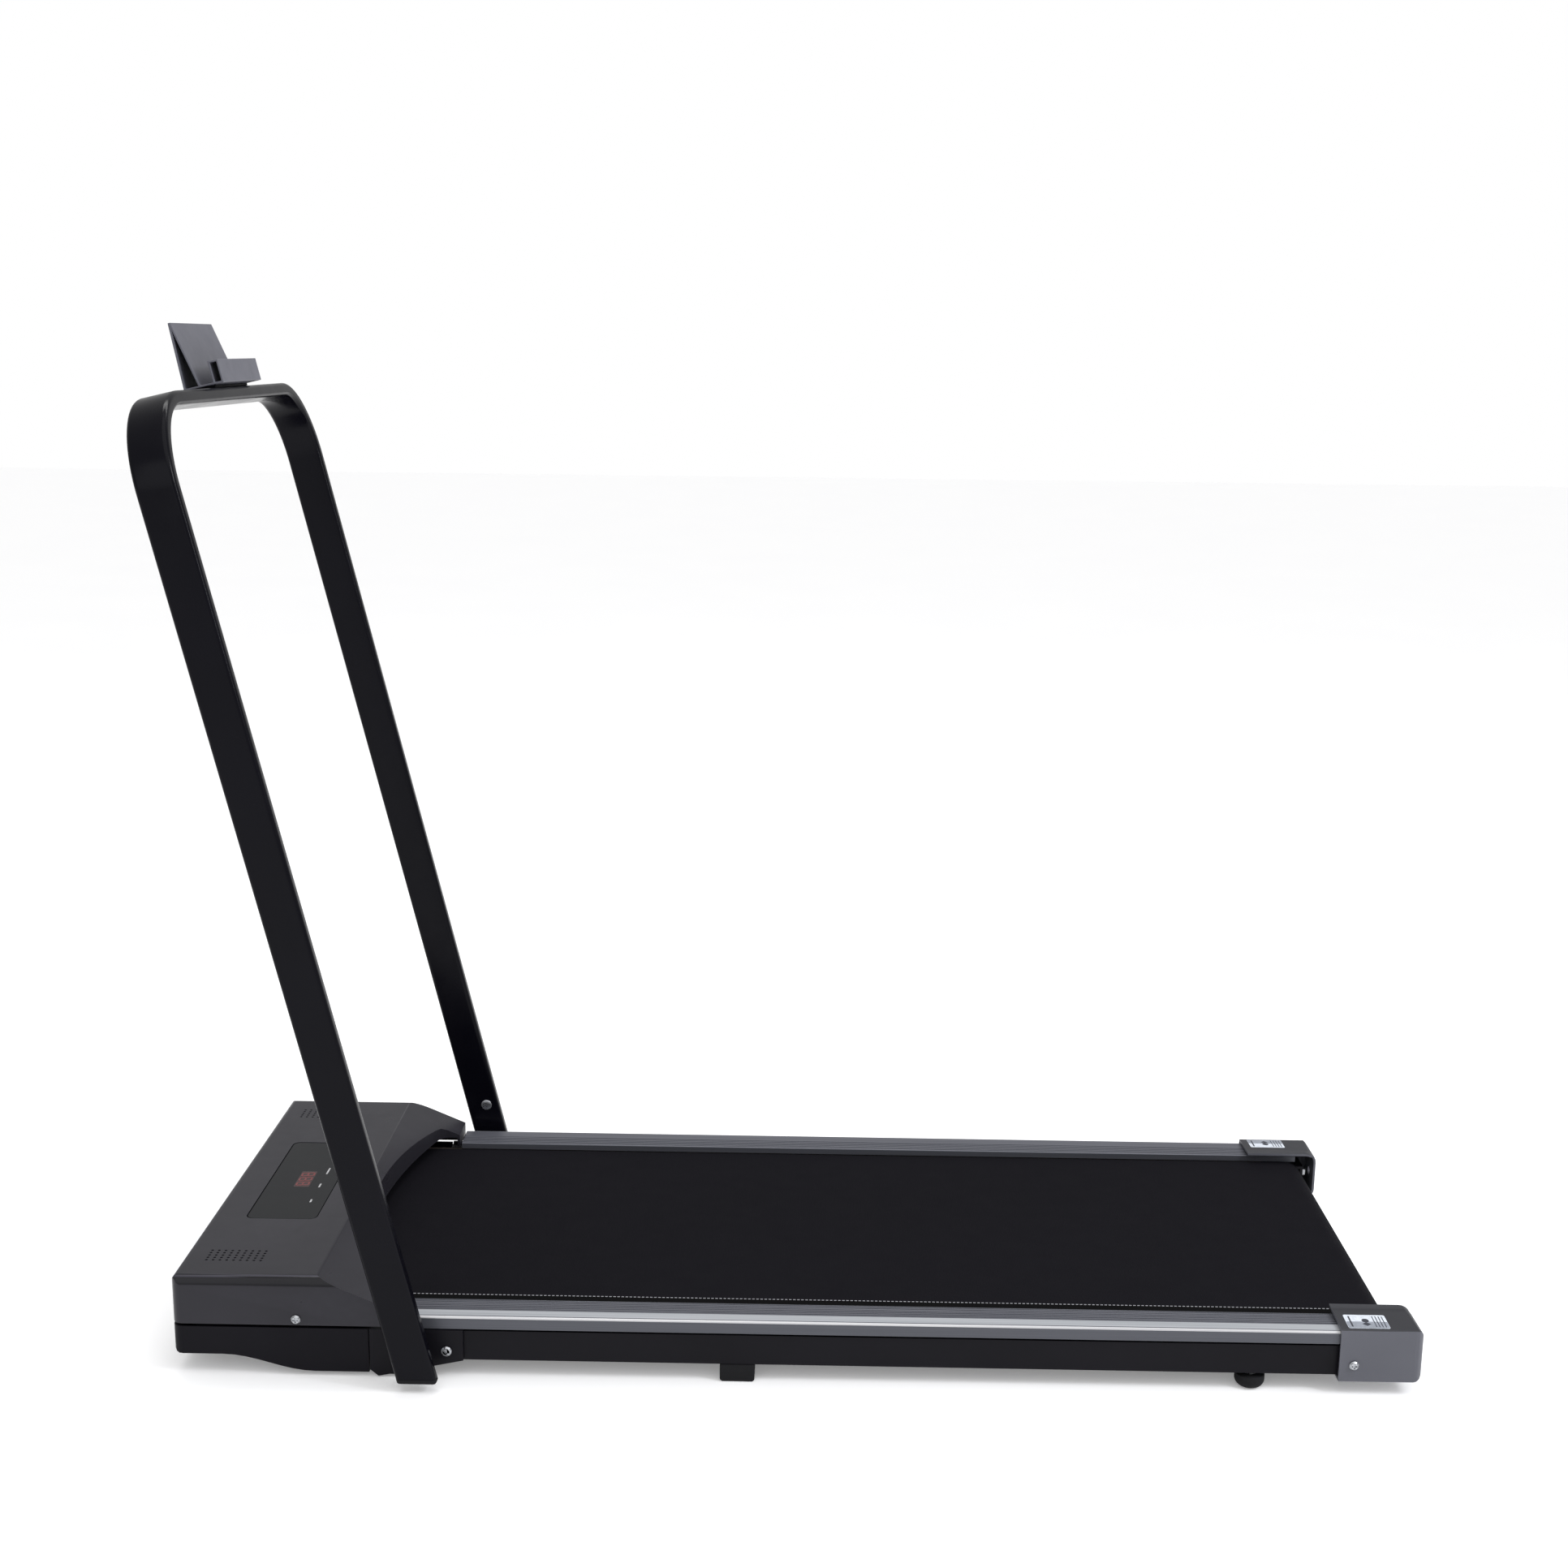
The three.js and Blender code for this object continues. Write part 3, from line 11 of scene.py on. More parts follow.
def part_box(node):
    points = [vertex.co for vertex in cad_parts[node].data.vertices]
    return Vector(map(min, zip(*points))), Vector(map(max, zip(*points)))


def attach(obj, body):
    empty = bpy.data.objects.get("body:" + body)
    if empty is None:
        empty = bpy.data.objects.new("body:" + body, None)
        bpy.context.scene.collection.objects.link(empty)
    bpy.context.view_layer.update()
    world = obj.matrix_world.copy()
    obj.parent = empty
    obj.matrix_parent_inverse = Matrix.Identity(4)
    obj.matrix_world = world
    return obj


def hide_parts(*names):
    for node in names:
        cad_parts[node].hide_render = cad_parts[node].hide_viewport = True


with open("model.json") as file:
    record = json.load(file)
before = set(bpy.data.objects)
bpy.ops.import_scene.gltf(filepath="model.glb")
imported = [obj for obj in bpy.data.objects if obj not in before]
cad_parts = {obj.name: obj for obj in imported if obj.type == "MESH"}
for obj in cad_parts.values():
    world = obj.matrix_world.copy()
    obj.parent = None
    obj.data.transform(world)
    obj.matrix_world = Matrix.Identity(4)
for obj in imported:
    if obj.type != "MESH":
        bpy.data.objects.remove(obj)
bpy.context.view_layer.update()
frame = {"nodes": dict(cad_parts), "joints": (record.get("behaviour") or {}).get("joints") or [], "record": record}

MM = 0.001
JOINTS = {joint["name"]: joint for joint in frame["joints"]}
NODE_SLOT = {part["node"]: part["material_slot"] for part in frame["record"]["subparts"]}
BODY_OF = {
    node: body
    for body, members in frame["record"]["behaviour"]["bodies"].items()
    for node in members
}
SIDES = {"far": 1, "near": -1}

# Details drawn in the materials, in millimetres
WEAVE_FREQUENCY = 1.9
THREAD_LINE = 182.6
THREAD_HALF_WIDTH = 0.7
THREAD_PITCH = 4.2
THREAD_SHARE = 0.62
# Bounds of the foot rails' painted reflection band and of their rim's painted highlight
PAINTED_REFLECTION_BAND = (229.4, 241.0)
PAINTED_REFLECTION_LOWEST = 64.6
RIM_START = 242.4
GRAIN_SIZE = 0.9
GRAIN_RELIEF = 0.012

# Components of a face's direction that bound its top, its sides, its rounded edges and their crests, where painted
# shade, painted reflection and painted highlights go
TOP_RISE = 0.6
SIDE_RISE = 0.5
ROUNDING_RISE = 0.2
ROUNDING_TURN = 0.34
CREST_TURN = 0.12

# Pointiness over which an edge wears
WEAR_RANGE = (0.53, 0.6)

# How rough all noise is, and the part of its values over which roughness changes
NOISE_ROUGHNESS = 0.55
NOISE_MIDDLE = (0.3, 0.7)

# ---------------------------------------------------------------------------
# Material nodes
# ---------------------------------------------------------------------------


class Surface:
    """A material whose nodes read the object's own coordinates, in millimetres."""

    def __init__(self, name, roughness, metallic=0.0, specular=0.4):
        self.material = bpy.data.materials.new(name)
        self.material.use_nodes = True
        self.tree = self.material.node_tree
        self.shader = self.tree.nodes["Principled BSDF"]
        self.shader.inputs["Roughness"].default_value = roughness
        self.shader.inputs["Metallic"].default_value = metallic
        self.shader.inputs["Specular IOR Level"].default_value = specular
        coordinates = self.node("ShaderNodeTexCoord")
        scale = self.node("ShaderNodeVectorMath", operation="SCALE")
        scale.inputs["Scale"].default_value = 1 / MM
        self.link(coordinates.outputs["Object"], scale.inputs[0])
        self.position = scale.outputs[0]
        self.bump_height = None

    def node(self, kind, **settings):
        made = self.tree.nodes.new(kind)
        for key, value in settings.items():
            setattr(made, key, value)
        return made

    def link(self, output, socket):
        self.tree.links.new(output, socket)

    def stretched(self, factors):
        """The position with each axis scaled, for brushed or woven patterns."""
        multiply = self.node("ShaderNodeVectorMath", operation="MULTIPLY")
        multiply.inputs[1].default_value = factors
        self.link(self.position, multiply.inputs[0])
        return multiply.outputs[0]

    def noise(self, size, detail=3.0, vector=None):
        """Noise whose features are about size millimetres across."""
        made = self.node("ShaderNodeTexNoise")
        made.inputs["Scale"].default_value = 1 / size
        made.inputs["Detail"].default_value = detail
        made.inputs["Roughness"].default_value = NOISE_ROUGHNESS
        self.link(vector or self.position, made.inputs["Vector"])
        return made.outputs["Fac"]

    def cells(self, size):
        """Distance pattern of cells about size millimetres across."""
        made = self.node("ShaderNodeTexVoronoi")
        made.inputs["Scale"].default_value = 1 / size
        self.link(self.position, made.inputs["Vector"])
        return made.outputs["Distance"]

    def math(self, operation, a, b=None, clamp=False):
        made = self.node("ShaderNodeMath", operation=operation, use_clamp=clamp)
        for socket, value in zip(made.inputs, (a, b)):
            if value is None:
                continue
            if isinstance(value, (int, float)):
                socket.default_value = value
            else:
                self.link(value, socket)
        return made.outputs[0]

    def axis(self, index):
        """One component of the position."""
        made = self.node("ShaderNodeSeparateXYZ")
        self.link(self.position, made.inputs[0])
        return made.outputs[index]

    def facing(self, index):
        """One component of the surface's own direction."""
        coordinates = self.node("ShaderNodeTexCoord")
        made = self.node("ShaderNodeSeparateXYZ")
        self.link(coordinates.outputs["Normal"], made.inputs[0])
        return made.outputs[index]

    def ramp(self, value, low, high, start=0.0, end=1.0):
        """Colour that runs from low to high as value goes from start to end."""
        made = self.node("ShaderNodeMapRange")
        made.inputs["From Min"].default_value = start
        made.inputs["From Max"].default_value = end
        self.link(value, made.inputs["Value"])
        return self.mix(made.outputs[0], low, high)

    def mix(self, factor, first, second):
        made = self.node("ShaderNodeMix", data_type="RGBA")
        self.link(factor, made.inputs["Factor"])
        for socket, value in ((made.inputs[6], first), (made.inputs[7], second)):
            if isinstance(value, tuple):
                socket.default_value = (*value, 1.0)
            else:
                self.link(value, socket)
        return made.outputs[2]

    def colour(self, output):
        self.link(output, self.shader.inputs["Base Color"])

    def roughness(self, value, low, high):
        """Roughness that runs from low to high over the middle of a noise's values."""
        made = self.node("ShaderNodeMapRange")
        made.inputs["From Min"].default_value = NOISE_MIDDLE[0]
        made.inputs["From Max"].default_value = NOISE_MIDDLE[1]
        made.inputs["To Min"].default_value = low
        made.inputs["To Max"].default_value = high
        self.link(value, made.inputs["Value"])
        self.link(made.outputs[0], self.shader.inputs["Roughness"])

    def bump(self, height, depth):
        """Relief of depth millimetres."""
        made = self.node("ShaderNodeBump")
        made.inputs["Strength"].default_value = 1.0
        made.inputs["Distance"].default_value = depth * MM
        self.link(height, made.inputs["Height"])
        if self.bump_height is not None:
            self.link(self.bump_height, made.inputs["Normal"])
        self.bump_height = made.outputs["Normal"]
        self.link(self.bump_height, self.shader.inputs["Normal"])

    def edge_wear(self, base, worn, amount):
        """Lightens the base colour along convex edges."""
        geometry = self.node("ShaderNodeNewGeometry")
        made = self.node("ShaderNodeMapRange")
        made.inputs["From Min"].default_value = WEAR_RANGE[0]
        made.inputs["From Max"].default_value = WEAR_RANGE[1]
        made.inputs["To Max"].default_value = amount
        self.link(geometry.outputs["Pointiness"], made.inputs["Value"])
        patchy = self.math("MULTIPLY", made.outputs[0], self.noise(9.0), clamp=True)
        return self.mix(patchy, base, worn)


def tint(colour, factor):
    return tuple(min(1.0, channel * factor) for channel in colour)


def moulded(name, colour, roughness, specular=0.3, top=1.0, painted_edge_reflection=0.0):
    """Spark-textured plastic with faint large-scale variation and soft wear on the edges.

    top below 1 darkens faces that look up with painted shade.
    A painted reflection on rounded side edges: its amount sets a dark band on them and a bright painted highlight
    on their crests.
    """
    surface = Surface(name, roughness, specular=specular)
    cloudy = surface.noise(90.0, 2.0)
    base = surface.ramp(cloudy, tint(colour, 0.95), tint(colour, 1.05), 0.35, 0.65)
    fine = surface.noise(GRAIN_SIZE, 2.0)
    speckled = surface.mix(surface.math("MULTIPLY", fine, 0.06), base, tint(colour, 1.5))
    # Faces that look up get painted shade, as much as 1 - top
    rise = surface.facing(2)
    upward = surface.math("GREATER_THAN", rise, TOP_RISE)
    painted_top_shade = surface.math("MULTIPLY", upward, 1.0 - top)
    shaded = surface.mix(painted_top_shade, speckled, tint(colour, 0.2))
    # Painted reflection on rounded side edges: a dark band, and a bright painted highlight along each crest
    sideways = surface.math("ABSOLUTE", surface.facing(1))
    turning = surface.math("GREATER_THAN", sideways, ROUNDING_TURN)
    rising = surface.math("GREATER_THAN", rise, ROUNDING_RISE)
    rounded = surface.math("MULTIPLY", turning, rising)
    painted_dark_band = surface.mix(surface.math("MULTIPLY", rounded, painted_edge_reflection), shaded, tint(colour, 0.1))
    above = surface.math("LESS_THAN", sideways, ROUNDING_TURN)
    beside = surface.math("GREATER_THAN", sideways, CREST_TURN)
    crest = surface.math("MULTIPLY", surface.math("MULTIPLY", above, beside), rise, clamp=True)
    lit = surface.mix(surface.math("MULTIPLY", crest, painted_edge_reflection), painted_dark_band, tint(colour, 4.0))
    surface.colour(surface.edge_wear(lit, tint(colour, 2.0), 0.3))
    surface.roughness(surface.noise(25.0, 3.0), roughness - 0.03, roughness + 0.04)
    surface.bump(fine, GRAIN_RELIEF)
    return surface.material


def powder_coat(name, colour, roughness, specular=0.3, relief=0.012, wear=0.2):
    """Baked paint with orange peel of relief millimetres and worn edges."""
    surface = Surface(name, roughness, specular=specular)
    cloudy = surface.noise(120.0, 2.0)
    base = surface.ramp(cloudy, tint(colour, 0.9), tint(colour, 1.1), 0.35, 0.65)
    surface.colour(surface.edge_wear(base, tint(colour, 2.5), wear))
    surface.roughness(surface.noise(22.0, 3.0), roughness - 0.03, roughness + 0.05)
    surface.bump(surface.noise(3.5, 2.0), relief)
    return surface.material


def turned_metal(name, colour, roughness, stretch=(0.05, 1.0, 1.0), grain=0.6):
    """Bare or plated metal with fine tool marks drawn out along one axis."""
    surface = Surface(name, roughness, metallic=1.0)
    marks = surface.noise(grain, 3.0, surface.stretched(stretch))
    surface.colour(surface.ramp(marks, tint(colour, 0.8), tint(colour, 1.15), 0.3, 0.7))
    surface.roughness(marks, roughness - 0.06, roughness + 0.12)
    surface.bump(marks, 0.02)
    return surface.material


def rubber(name, colour, roughness):
    """Matt rubber with patches of dust."""
    surface = Surface(name, roughness, specular=0.2)
    dusty = surface.noise(18.0, 5.0)
    surface.colour(surface.ramp(dusty, tint(colour, 0.8), tint(colour, 1.7), 0.45, 0.8))
    surface.roughness(dusty, roughness - 0.08, roughness + 0.12)
    surface.bump(surface.noise(1.1, 3.0), 0.08)
    return surface.material


def belt_surface():
    """Walking belt: fine lozenge weave, a pale cut thread along the near edge and a black rim."""
    surface = Surface("belt_rubber", 0.85, specular=0.07)
    colour = (0.0044, 0.0041, 0.0060)
    rising = surface.math("ADD", surface.axis(0), surface.axis(1))
    falling = surface.math("SUBTRACT", surface.axis(0), surface.axis(1))
    weave = surface.math(
        "MULTIPLY",
        surface.math("SINE", surface.math("MULTIPLY", rising, WEAVE_FREQUENCY)),
        surface.math("SINE", surface.math("MULTIPLY", falling, WEAVE_FREQUENCY)),
    )
    cloudy = surface.noise(400.0, 2.0)
    base = surface.ramp(cloudy, tint(colour, 0.96), tint(colour, 1.05), 0.35, 0.65)
    woven = surface.mix(surface.math("MULTIPLY", weave, 0.2, clamp=True), base, tint(colour, 1.7))
    near = surface.math("MULTIPLY", surface.axis(1), -1.0)
    rim = surface.math("GREATER_THAN", near, THREAD_LINE)
    rimmed = surface.mix(rim, woven, (0.0012, 0.0012, 0.0015))
    from_line = surface.math("ABSOLUTE", surface.math("SUBTRACT", near, THREAD_LINE))
    on_line = surface.math("LESS_THAN", from_line, THREAD_HALF_WIDTH)
    along = surface.math("FRACT", surface.math("MULTIPLY", surface.axis(0), 1 / THREAD_PITCH))
    on_thread = surface.math("LESS_THAN", along, THREAD_SHARE)
    thread = surface.math("MULTIPLY", on_line, on_thread)
    surface.colour(surface.mix(thread, rimmed, (0.30, 0.30, 0.32)))
    surface.roughness(surface.noise(30.0, 4.0), 0.84, 0.9)
    surface.bump(weave, 0.08)
    surface.bump(thread, 0.25)
    return surface.material


def foot_rail_surface():
    """Anodised extrusion drawn along its length.

    The near rail has a painted reflection band outside its grooves and a painted highlight on its rim.
    The far rail's rim has the painted reflection colour. Faces that don't look up are darker, as painted shade.
    """
    surface = Surface("foot_rail_aluminium", 0.42, metallic=0.3)
    grain = surface.noise(0.9, 4.0, surface.stretched((0.004, 1.0, 1.0)))
    across = surface.math("ABSOLUTE", surface.axis(1))
    height = surface.axis(2)
    drawn = surface.ramp(grain, (0.070, 0.073, 0.090), (0.130, 0.133, 0.155), 0.3, 0.7)
    # Faces that don't look up take a darker copy of the colour: painted shade
    side = surface.ramp(grain, (0.055, 0.058, 0.070), (0.090, 0.093, 0.108))
    dark = surface.mix(surface.math("LESS_THAN", surface.facing(2), SIDE_RISE), drawn, side)
    # Painted reflection on the band outside the grooves, and a painted highlight on the rounded rim, brighter on
    # the near rail
    painted_reflection = surface.ramp(grain, (0.30, 0.32, 0.34), (0.46, 0.47, 0.50), 0.3, 0.7)
    rim = surface.ramp(grain, (0.42, 0.42, 0.44), (0.58, 0.58, 0.58), 0.3, 0.7)
    above = surface.math("GREATER_THAN", height, PAINTED_REFLECTION_LOWEST)
    outside = surface.math("GREATER_THAN", across, PAINTED_REFLECTION_BAND[0])
    inside = surface.math("LESS_THAN", across, PAINTED_REFLECTION_BAND[1])
    in_painted_reflection_band = surface.math("MULTIPLY", above, surface.math("MULTIPLY", outside, inside))
    on_painted_rim_highlight = surface.math("MULTIPLY", above, surface.math("GREATER_THAN", across, RIM_START))
    near = surface.math("LESS_THAN", surface.axis(1), 0.0)
    near_look = surface.mix(on_painted_rim_highlight, surface.mix(in_painted_reflection_band, dark, painted_reflection), rim)
    far_look = surface.mix(on_painted_rim_highlight, dark, painted_reflection)
    surface.colour(surface.mix(near, far_look, near_look))
    surface.roughness(surface.noise(40.0, 4.0, surface.stretched((0.1, 1.0, 1.0))), 0.34, 0.5)
    surface.bump(grain, 0.05)
    return surface.material


def board_surface():
    """Dark fibreboard with flat-lying fibres."""
    surface = Surface("board_edge", 0.7)
    fibre = surface.noise(1.6, 6.0, surface.stretched((0.3, 0.3, 1.6)))
    surface.colour(surface.ramp(fibre, (0.022, 0.018, 0.015), (0.050, 0.040, 0.032), 0.3, 0.7))
    surface.bump(fibre, 0.15)
    return surface.material


def smoked_surface():
    """Smoked window with faint smears."""
    surface = Surface("smoked_panel", 0.3, specular=0.15)
    smear = surface.noise(55.0, 3.0)
    clear, smeared = (0.0055, 0.0062, 0.0076), (0.0076, 0.0084, 0.0100)
    surface.colour(surface.ramp(smear, clear, smeared, 0.35, 0.7))
    surface.roughness(smear, 0.28, 0.36)
    surface.bump(surface.noise(9.0, 2.0), 0.002)
    return surface.material


def circuit_surface():
    """Green board with paler tracks."""
    surface = Surface("circuit_board", 0.45)
    tracks = surface.cells(3.2)
    surface.colour(surface.ramp(tracks, (0.006, 0.05, 0.018), (0.02, 0.13, 0.05), 0.25, 0.55))
    surface.bump(tracks, 0.05)
    return surface.material


def print_surface(name, colour, painted_glow=0.0):
    """Ink, or a segment with a painted glow."""
    surface = Surface(name, 0.5)
    uneven = surface.noise(4.0, 3.0)
    surface.colour(surface.ramp(uneven, tint(colour, 0.85), tint(colour, 1.1), 0.3, 0.7))
    surface.shader.inputs["Emission Color"].default_value = (*colour, 1.0)
    surface.shader.inputs["Emission Strength"].default_value = painted_glow
    return surface.material


MATERIALS = {
    # The hood's rounded side edges carry a painted reflection: a dark band and bright crests
    "hood_plastic": moulded(
        "hood_plastic", (0.0200, 0.0192, 0.0246), 0.3, specular=0.22, painted_edge_reflection=0.65
    ),
    "black_plastic": moulded("black_plastic", (0.0062, 0.0058, 0.0080), 0.4, specular=0.07),
    # The end caps' tops are darkened with painted shade
    "cap_plastic": moulded("cap_plastic", (0.086, 0.088, 0.104), 0.44, specular=0.25, top=0.1),
    "smoked_panel": smoked_surface(),
    "black_steel": powder_coat("black_steel", (0.0062, 0.0058, 0.0080), 0.36, specular=0.09),
    "handrail_paint": powder_coat(
        "handrail_paint", (0.0022, 0.0021, 0.0042), 0.2, specular=0.11, relief=0.003, wear=0.0
    ),
    "holder_paint": powder_coat("holder_paint", (0.095, 0.096, 0.118), 0.38, specular=0.4),
    "aluminium": turned_metal("aluminium", (0.5, 0.51, 0.53), 0.4),
    "zinc": turned_metal("zinc", (0.40, 0.41, 0.43), 0.28, (1.0, 1.0, 1.0), 1.5),
    "steel": turned_metal("steel", (0.42, 0.43, 0.45), 0.35, (1.0, 0.05, 1.0)),
    "belt_rubber": belt_surface(),
    "rubber": rubber("rubber", (0.0062, 0.0062, 0.0075), 0.75),
    "board": board_surface(),
    "circuit": circuit_surface(),
    "motor_paint": powder_coat("motor_paint", (0.024, 0.026, 0.031), 0.4),
    "foot_rail": foot_rail_surface(),
}
# The digits' faint glow is painted: their segments are not switched on
LED = print_surface("led_segments", (0.14, 0.035, 0.035), 0.12)
LED_GLOW = print_surface("led_glow", (0.045, 0.026, 0.027))
MARKS = print_surface("white_marks", (0.42, 0.42, 0.43))
LABEL_WHITE = print_surface("label_white", (0.60, 0.64, 0.70))
LABEL_GREY = print_surface("label_grey", (0.25, 0.27, 0.31))
LABEL_INK = print_surface("label_ink", (0.03, 0.033, 0.045))

# ---------------------------------------------------------------------------
# Mesh helpers
# ---------------------------------------------------------------------------

# Edges sharper than this many degrees stay sharp
SHARP_ANGLE = 38.0
TURNED_SHARP_ANGLE = 32.0

# Faces within this many degrees are one face, and points within this many millimetres one point
FLAT_ANGLE = 0.6
MERGE_DISTANCE = 0.002

TURNED_STEPS = 48


def new_object(name, mesh, material):
    piece = bpy.data.objects.new(name, mesh)
    bpy.context.scene.collection.objects.link(piece)
    mesh.materials.clear()
    mesh.materials.append(material)
    return piece


def shade(mesh, angle):
    """Smooth shading, with edges sharper than angle degrees kept."""
    for polygon in mesh.polygons:
        polygon.use_smooth = True
    mesh.set_sharp_from_angle(angle=math.radians(angle))


def bevel(piece, width):
    """Eases the piece's sharp edges by width millimetres."""
    modifier = piece.modifiers.new("edges", "BEVEL")
    modifier.width = width * MM
    modifier.segments = 2
    modifier.limit_method = "ANGLE"
    modifier.angle_limit = math.radians(SHARP_ANGLE)
    modifier.harden_normals = True
    modifier.use_clamp_overlap = True


def place(piece, node):
    """The piece stands for a CAD node and moves with its body."""
    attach(piece, BODY_OF[node])
    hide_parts(node)
    return piece


def mesh_of(work, name):
    bmesh.ops.recalc_face_normals(work, faces=work.faces)
    mesh = bpy.data.meshes.new(name)
    work.to_mesh(mesh)
    work.free()
    return mesh


def refined(node, width, material=None):
    """The node's solid with its faces merged, its edges eased and its rounds shaded smooth."""
    work = bmesh.new()
    work.from_mesh(frame["nodes"][node].data)
    bmesh.ops.remove_doubles(work, verts=work.verts, dist=MERGE_DISTANCE * MM)
    bmesh.ops.dissolve_limit(
        work,
        angle_limit=math.radians(FLAT_ANGLE),
        verts=work.verts,
        edges=work.edges,
        use_dissolve_boundaries=False,
    )
    mesh = mesh_of(work, f"{node}_fine")
    piece = new_object(f"{node}_fine", mesh, material or MATERIALS[NODE_SLOT[node]])
    shade(mesh, SHARP_ANGLE)
    if width:
        bevel(piece, width)
    flatten = piece.modifiers.new("flat_faces", "WEIGHTED_NORMAL")
    flatten.keep_sharp = True
    flatten.weight = 100
    return place(piece, node)


def arc(centre, radius, start, end, steps):
    """Points on an arc, by angles in degrees."""
    angles = [math.radians(start + (end - start) * i / steps) for i in range(steps + 1)]
    return [(centre[0] + radius * math.cos(a), centre[1] + radius * math.sin(a)) for a in angles]


def prism(outline, low, high):
    """A bmesh prism of a flat outline, from a low to a high height, in millimetres."""
    work = bmesh.new()
    rings = [[work.verts.new(Vector((x, y, z)) * MM) for x, y in outline] for z in (low, high)]
    count = len(outline)
    work.faces.new(rings[0])
    work.faces.new(rings[1])
    for i in range(count):
        j = (i + 1) % count
        work.faces.new((rings[0][i], rings[0][j], rings[1][j], rings[1][i]))
    return work


def rounded_outline(low, high, radius, steps):
    """Rectangle with rounded corners, between its low and high corners."""
    (a0, b0), (a1, b1) = low, high
    return [
        *arc((a1 - radius, b0 + radius), radius, -90, 0, steps),
        *arc((a1 - radius, b1 - radius), radius, 0, 90, steps),
        *arc((a0 + radius, b1 - radius), radius, 90, 180, steps),
        *arc((a0 + radius, b0 + radius), radius, 180, 270, steps),
    ]


def join_into(target, source):
    """Adds one bmesh to another and frees it."""
    mesh = bpy.data.meshes.new("part")
    source.to_mesh(mesh)
    source.free()
    target.from_mesh(mesh)
    bpy.data.meshes.remove(mesh)


def turned(name, profile, centre, axis, material):
    """Closed turned solid from (radius, height) points, in millimetres from centre along axis."""
    steps = TURNED_STEPS
    work = bmesh.new()
    rings = []
    for radius, height in profile:
        ring = []
        for i in range(steps if radius > 1e-6 else 1):
            a = 2 * math.pi * i / steps
            flat = (radius * math.cos(a), radius * math.sin(a))
            local = {"y": (flat[0], height, flat[1]), "z": (flat[0], flat[1], height)}[axis]
            ring.append(work.verts.new((Vector(local) + Vector(centre)) * MM))
        rings.append(ring)
    for first, second in zip(rings, rings[1:]):
        for i in range(steps):
            j = (i + 1) % steps
            here = (first[i % len(first)], first[j % len(first)])
            there = (second[j % len(second)], second[i % len(second)])
            unique = list(dict.fromkeys((*here, *there)))
            if len(unique) > 2:
                work.faces.new(unique)
    mesh = mesh_of(work, name)
    piece = new_object(name, mesh, material)
    shade(mesh, TURNED_SHARP_ANGLE)
    return piece


# ---------------------------------------------------------------------------
# Camera, light and floor
# ---------------------------------------------------------------------------

IMAGE_WIDTH = 1932
FOCAL_PIXELS = 2500.0
SENSOR = 36.0
CAMERA_PLACE = Vector((7.3, -2107.0, 1018.3)) * MM
YAW = -0.0118
PITCH = 0.2131
ROLL = 0.0115

# The surroundings' light near the horizon and high up, the upward rise between which it changes,
# and the plain backdrop
HORIZON_LIGHT = 0.55
ZENITH_LIGHT = 0.6
LIGHT_RISE = (0.05, 0.9)
BACKDROP_LIGHT = 1.0

SKY_POWER = 1.1
SKY_SPREAD = 70.0
SKY_DIRECTION = (0.25, -0.45, 1.0)

FLOOR_GLOW = 0.22

# In metres
FLOOR_HALF_SIZE = 14.0


def make_camera():
    data = bpy.data.cameras.new("camera")
    data.sensor_width = SENSOR
    data.lens = SENSOR * FOCAL_PIXELS / IMAGE_WIDTH
    camera = bpy.data.objects.new("camera", data)
    bpy.context.scene.collection.objects.link(camera)
    reach = math.cos(PITCH)
    forward = Vector((math.sin(YAW) * reach, math.cos(YAW) * reach, -math.sin(PITCH)))
    level = Vector((math.cos(YAW), -math.sin(YAW), 0.0))
    upright = level.cross(forward)
    right = math.cos(ROLL) * level + math.sin(ROLL) * upright
    up = -math.sin(ROLL) * level + math.cos(ROLL) * upright
    turn = Matrix((right, up, -forward)).transposed()
    camera.matrix_world = Matrix.Translation(CAMERA_PLACE) @ turn.to_4x4()
    bpy.context.scene.camera = camera


def make_light(name, place, aim, size, power, colour=(1.0, 1.0, 1.0)):
    data = bpy.data.lights.new(name, "AREA")
    data.shape = "RECTANGLE"
    data.size, data.size_y = size
    data.energy = power
    data.color = colour
    light = bpy.data.objects.new(name, data)
    light.location = place
    light.rotation_euler = (Vector(aim) - Vector(place)).to_track_quat("-Z", "Y").to_euler()
    bpy.context.scene.collection.objects.link(light)


def make_floor():
    work = bmesh.new()
    bmesh.ops.create_grid(work, x_segments=2, y_segments=2, size=FLOOR_HALF_SIZE)
    mesh = mesh_of(work, "floor")
    surface = Surface("floor", 0.55)
    surface.colour(surface.ramp(surface.noise(400.0, 2.0), (0.86, 0.86, 0.87), (0.9, 0.9, 0.9)))
    surface.shader.inputs["Emission Color"].default_value = (1.0, 1.0, 1.0, 1.0)
    surface.shader.inputs["Emission Strength"].default_value = FLOOR_GLOW
    floor = new_object("floor", mesh, surface.material)


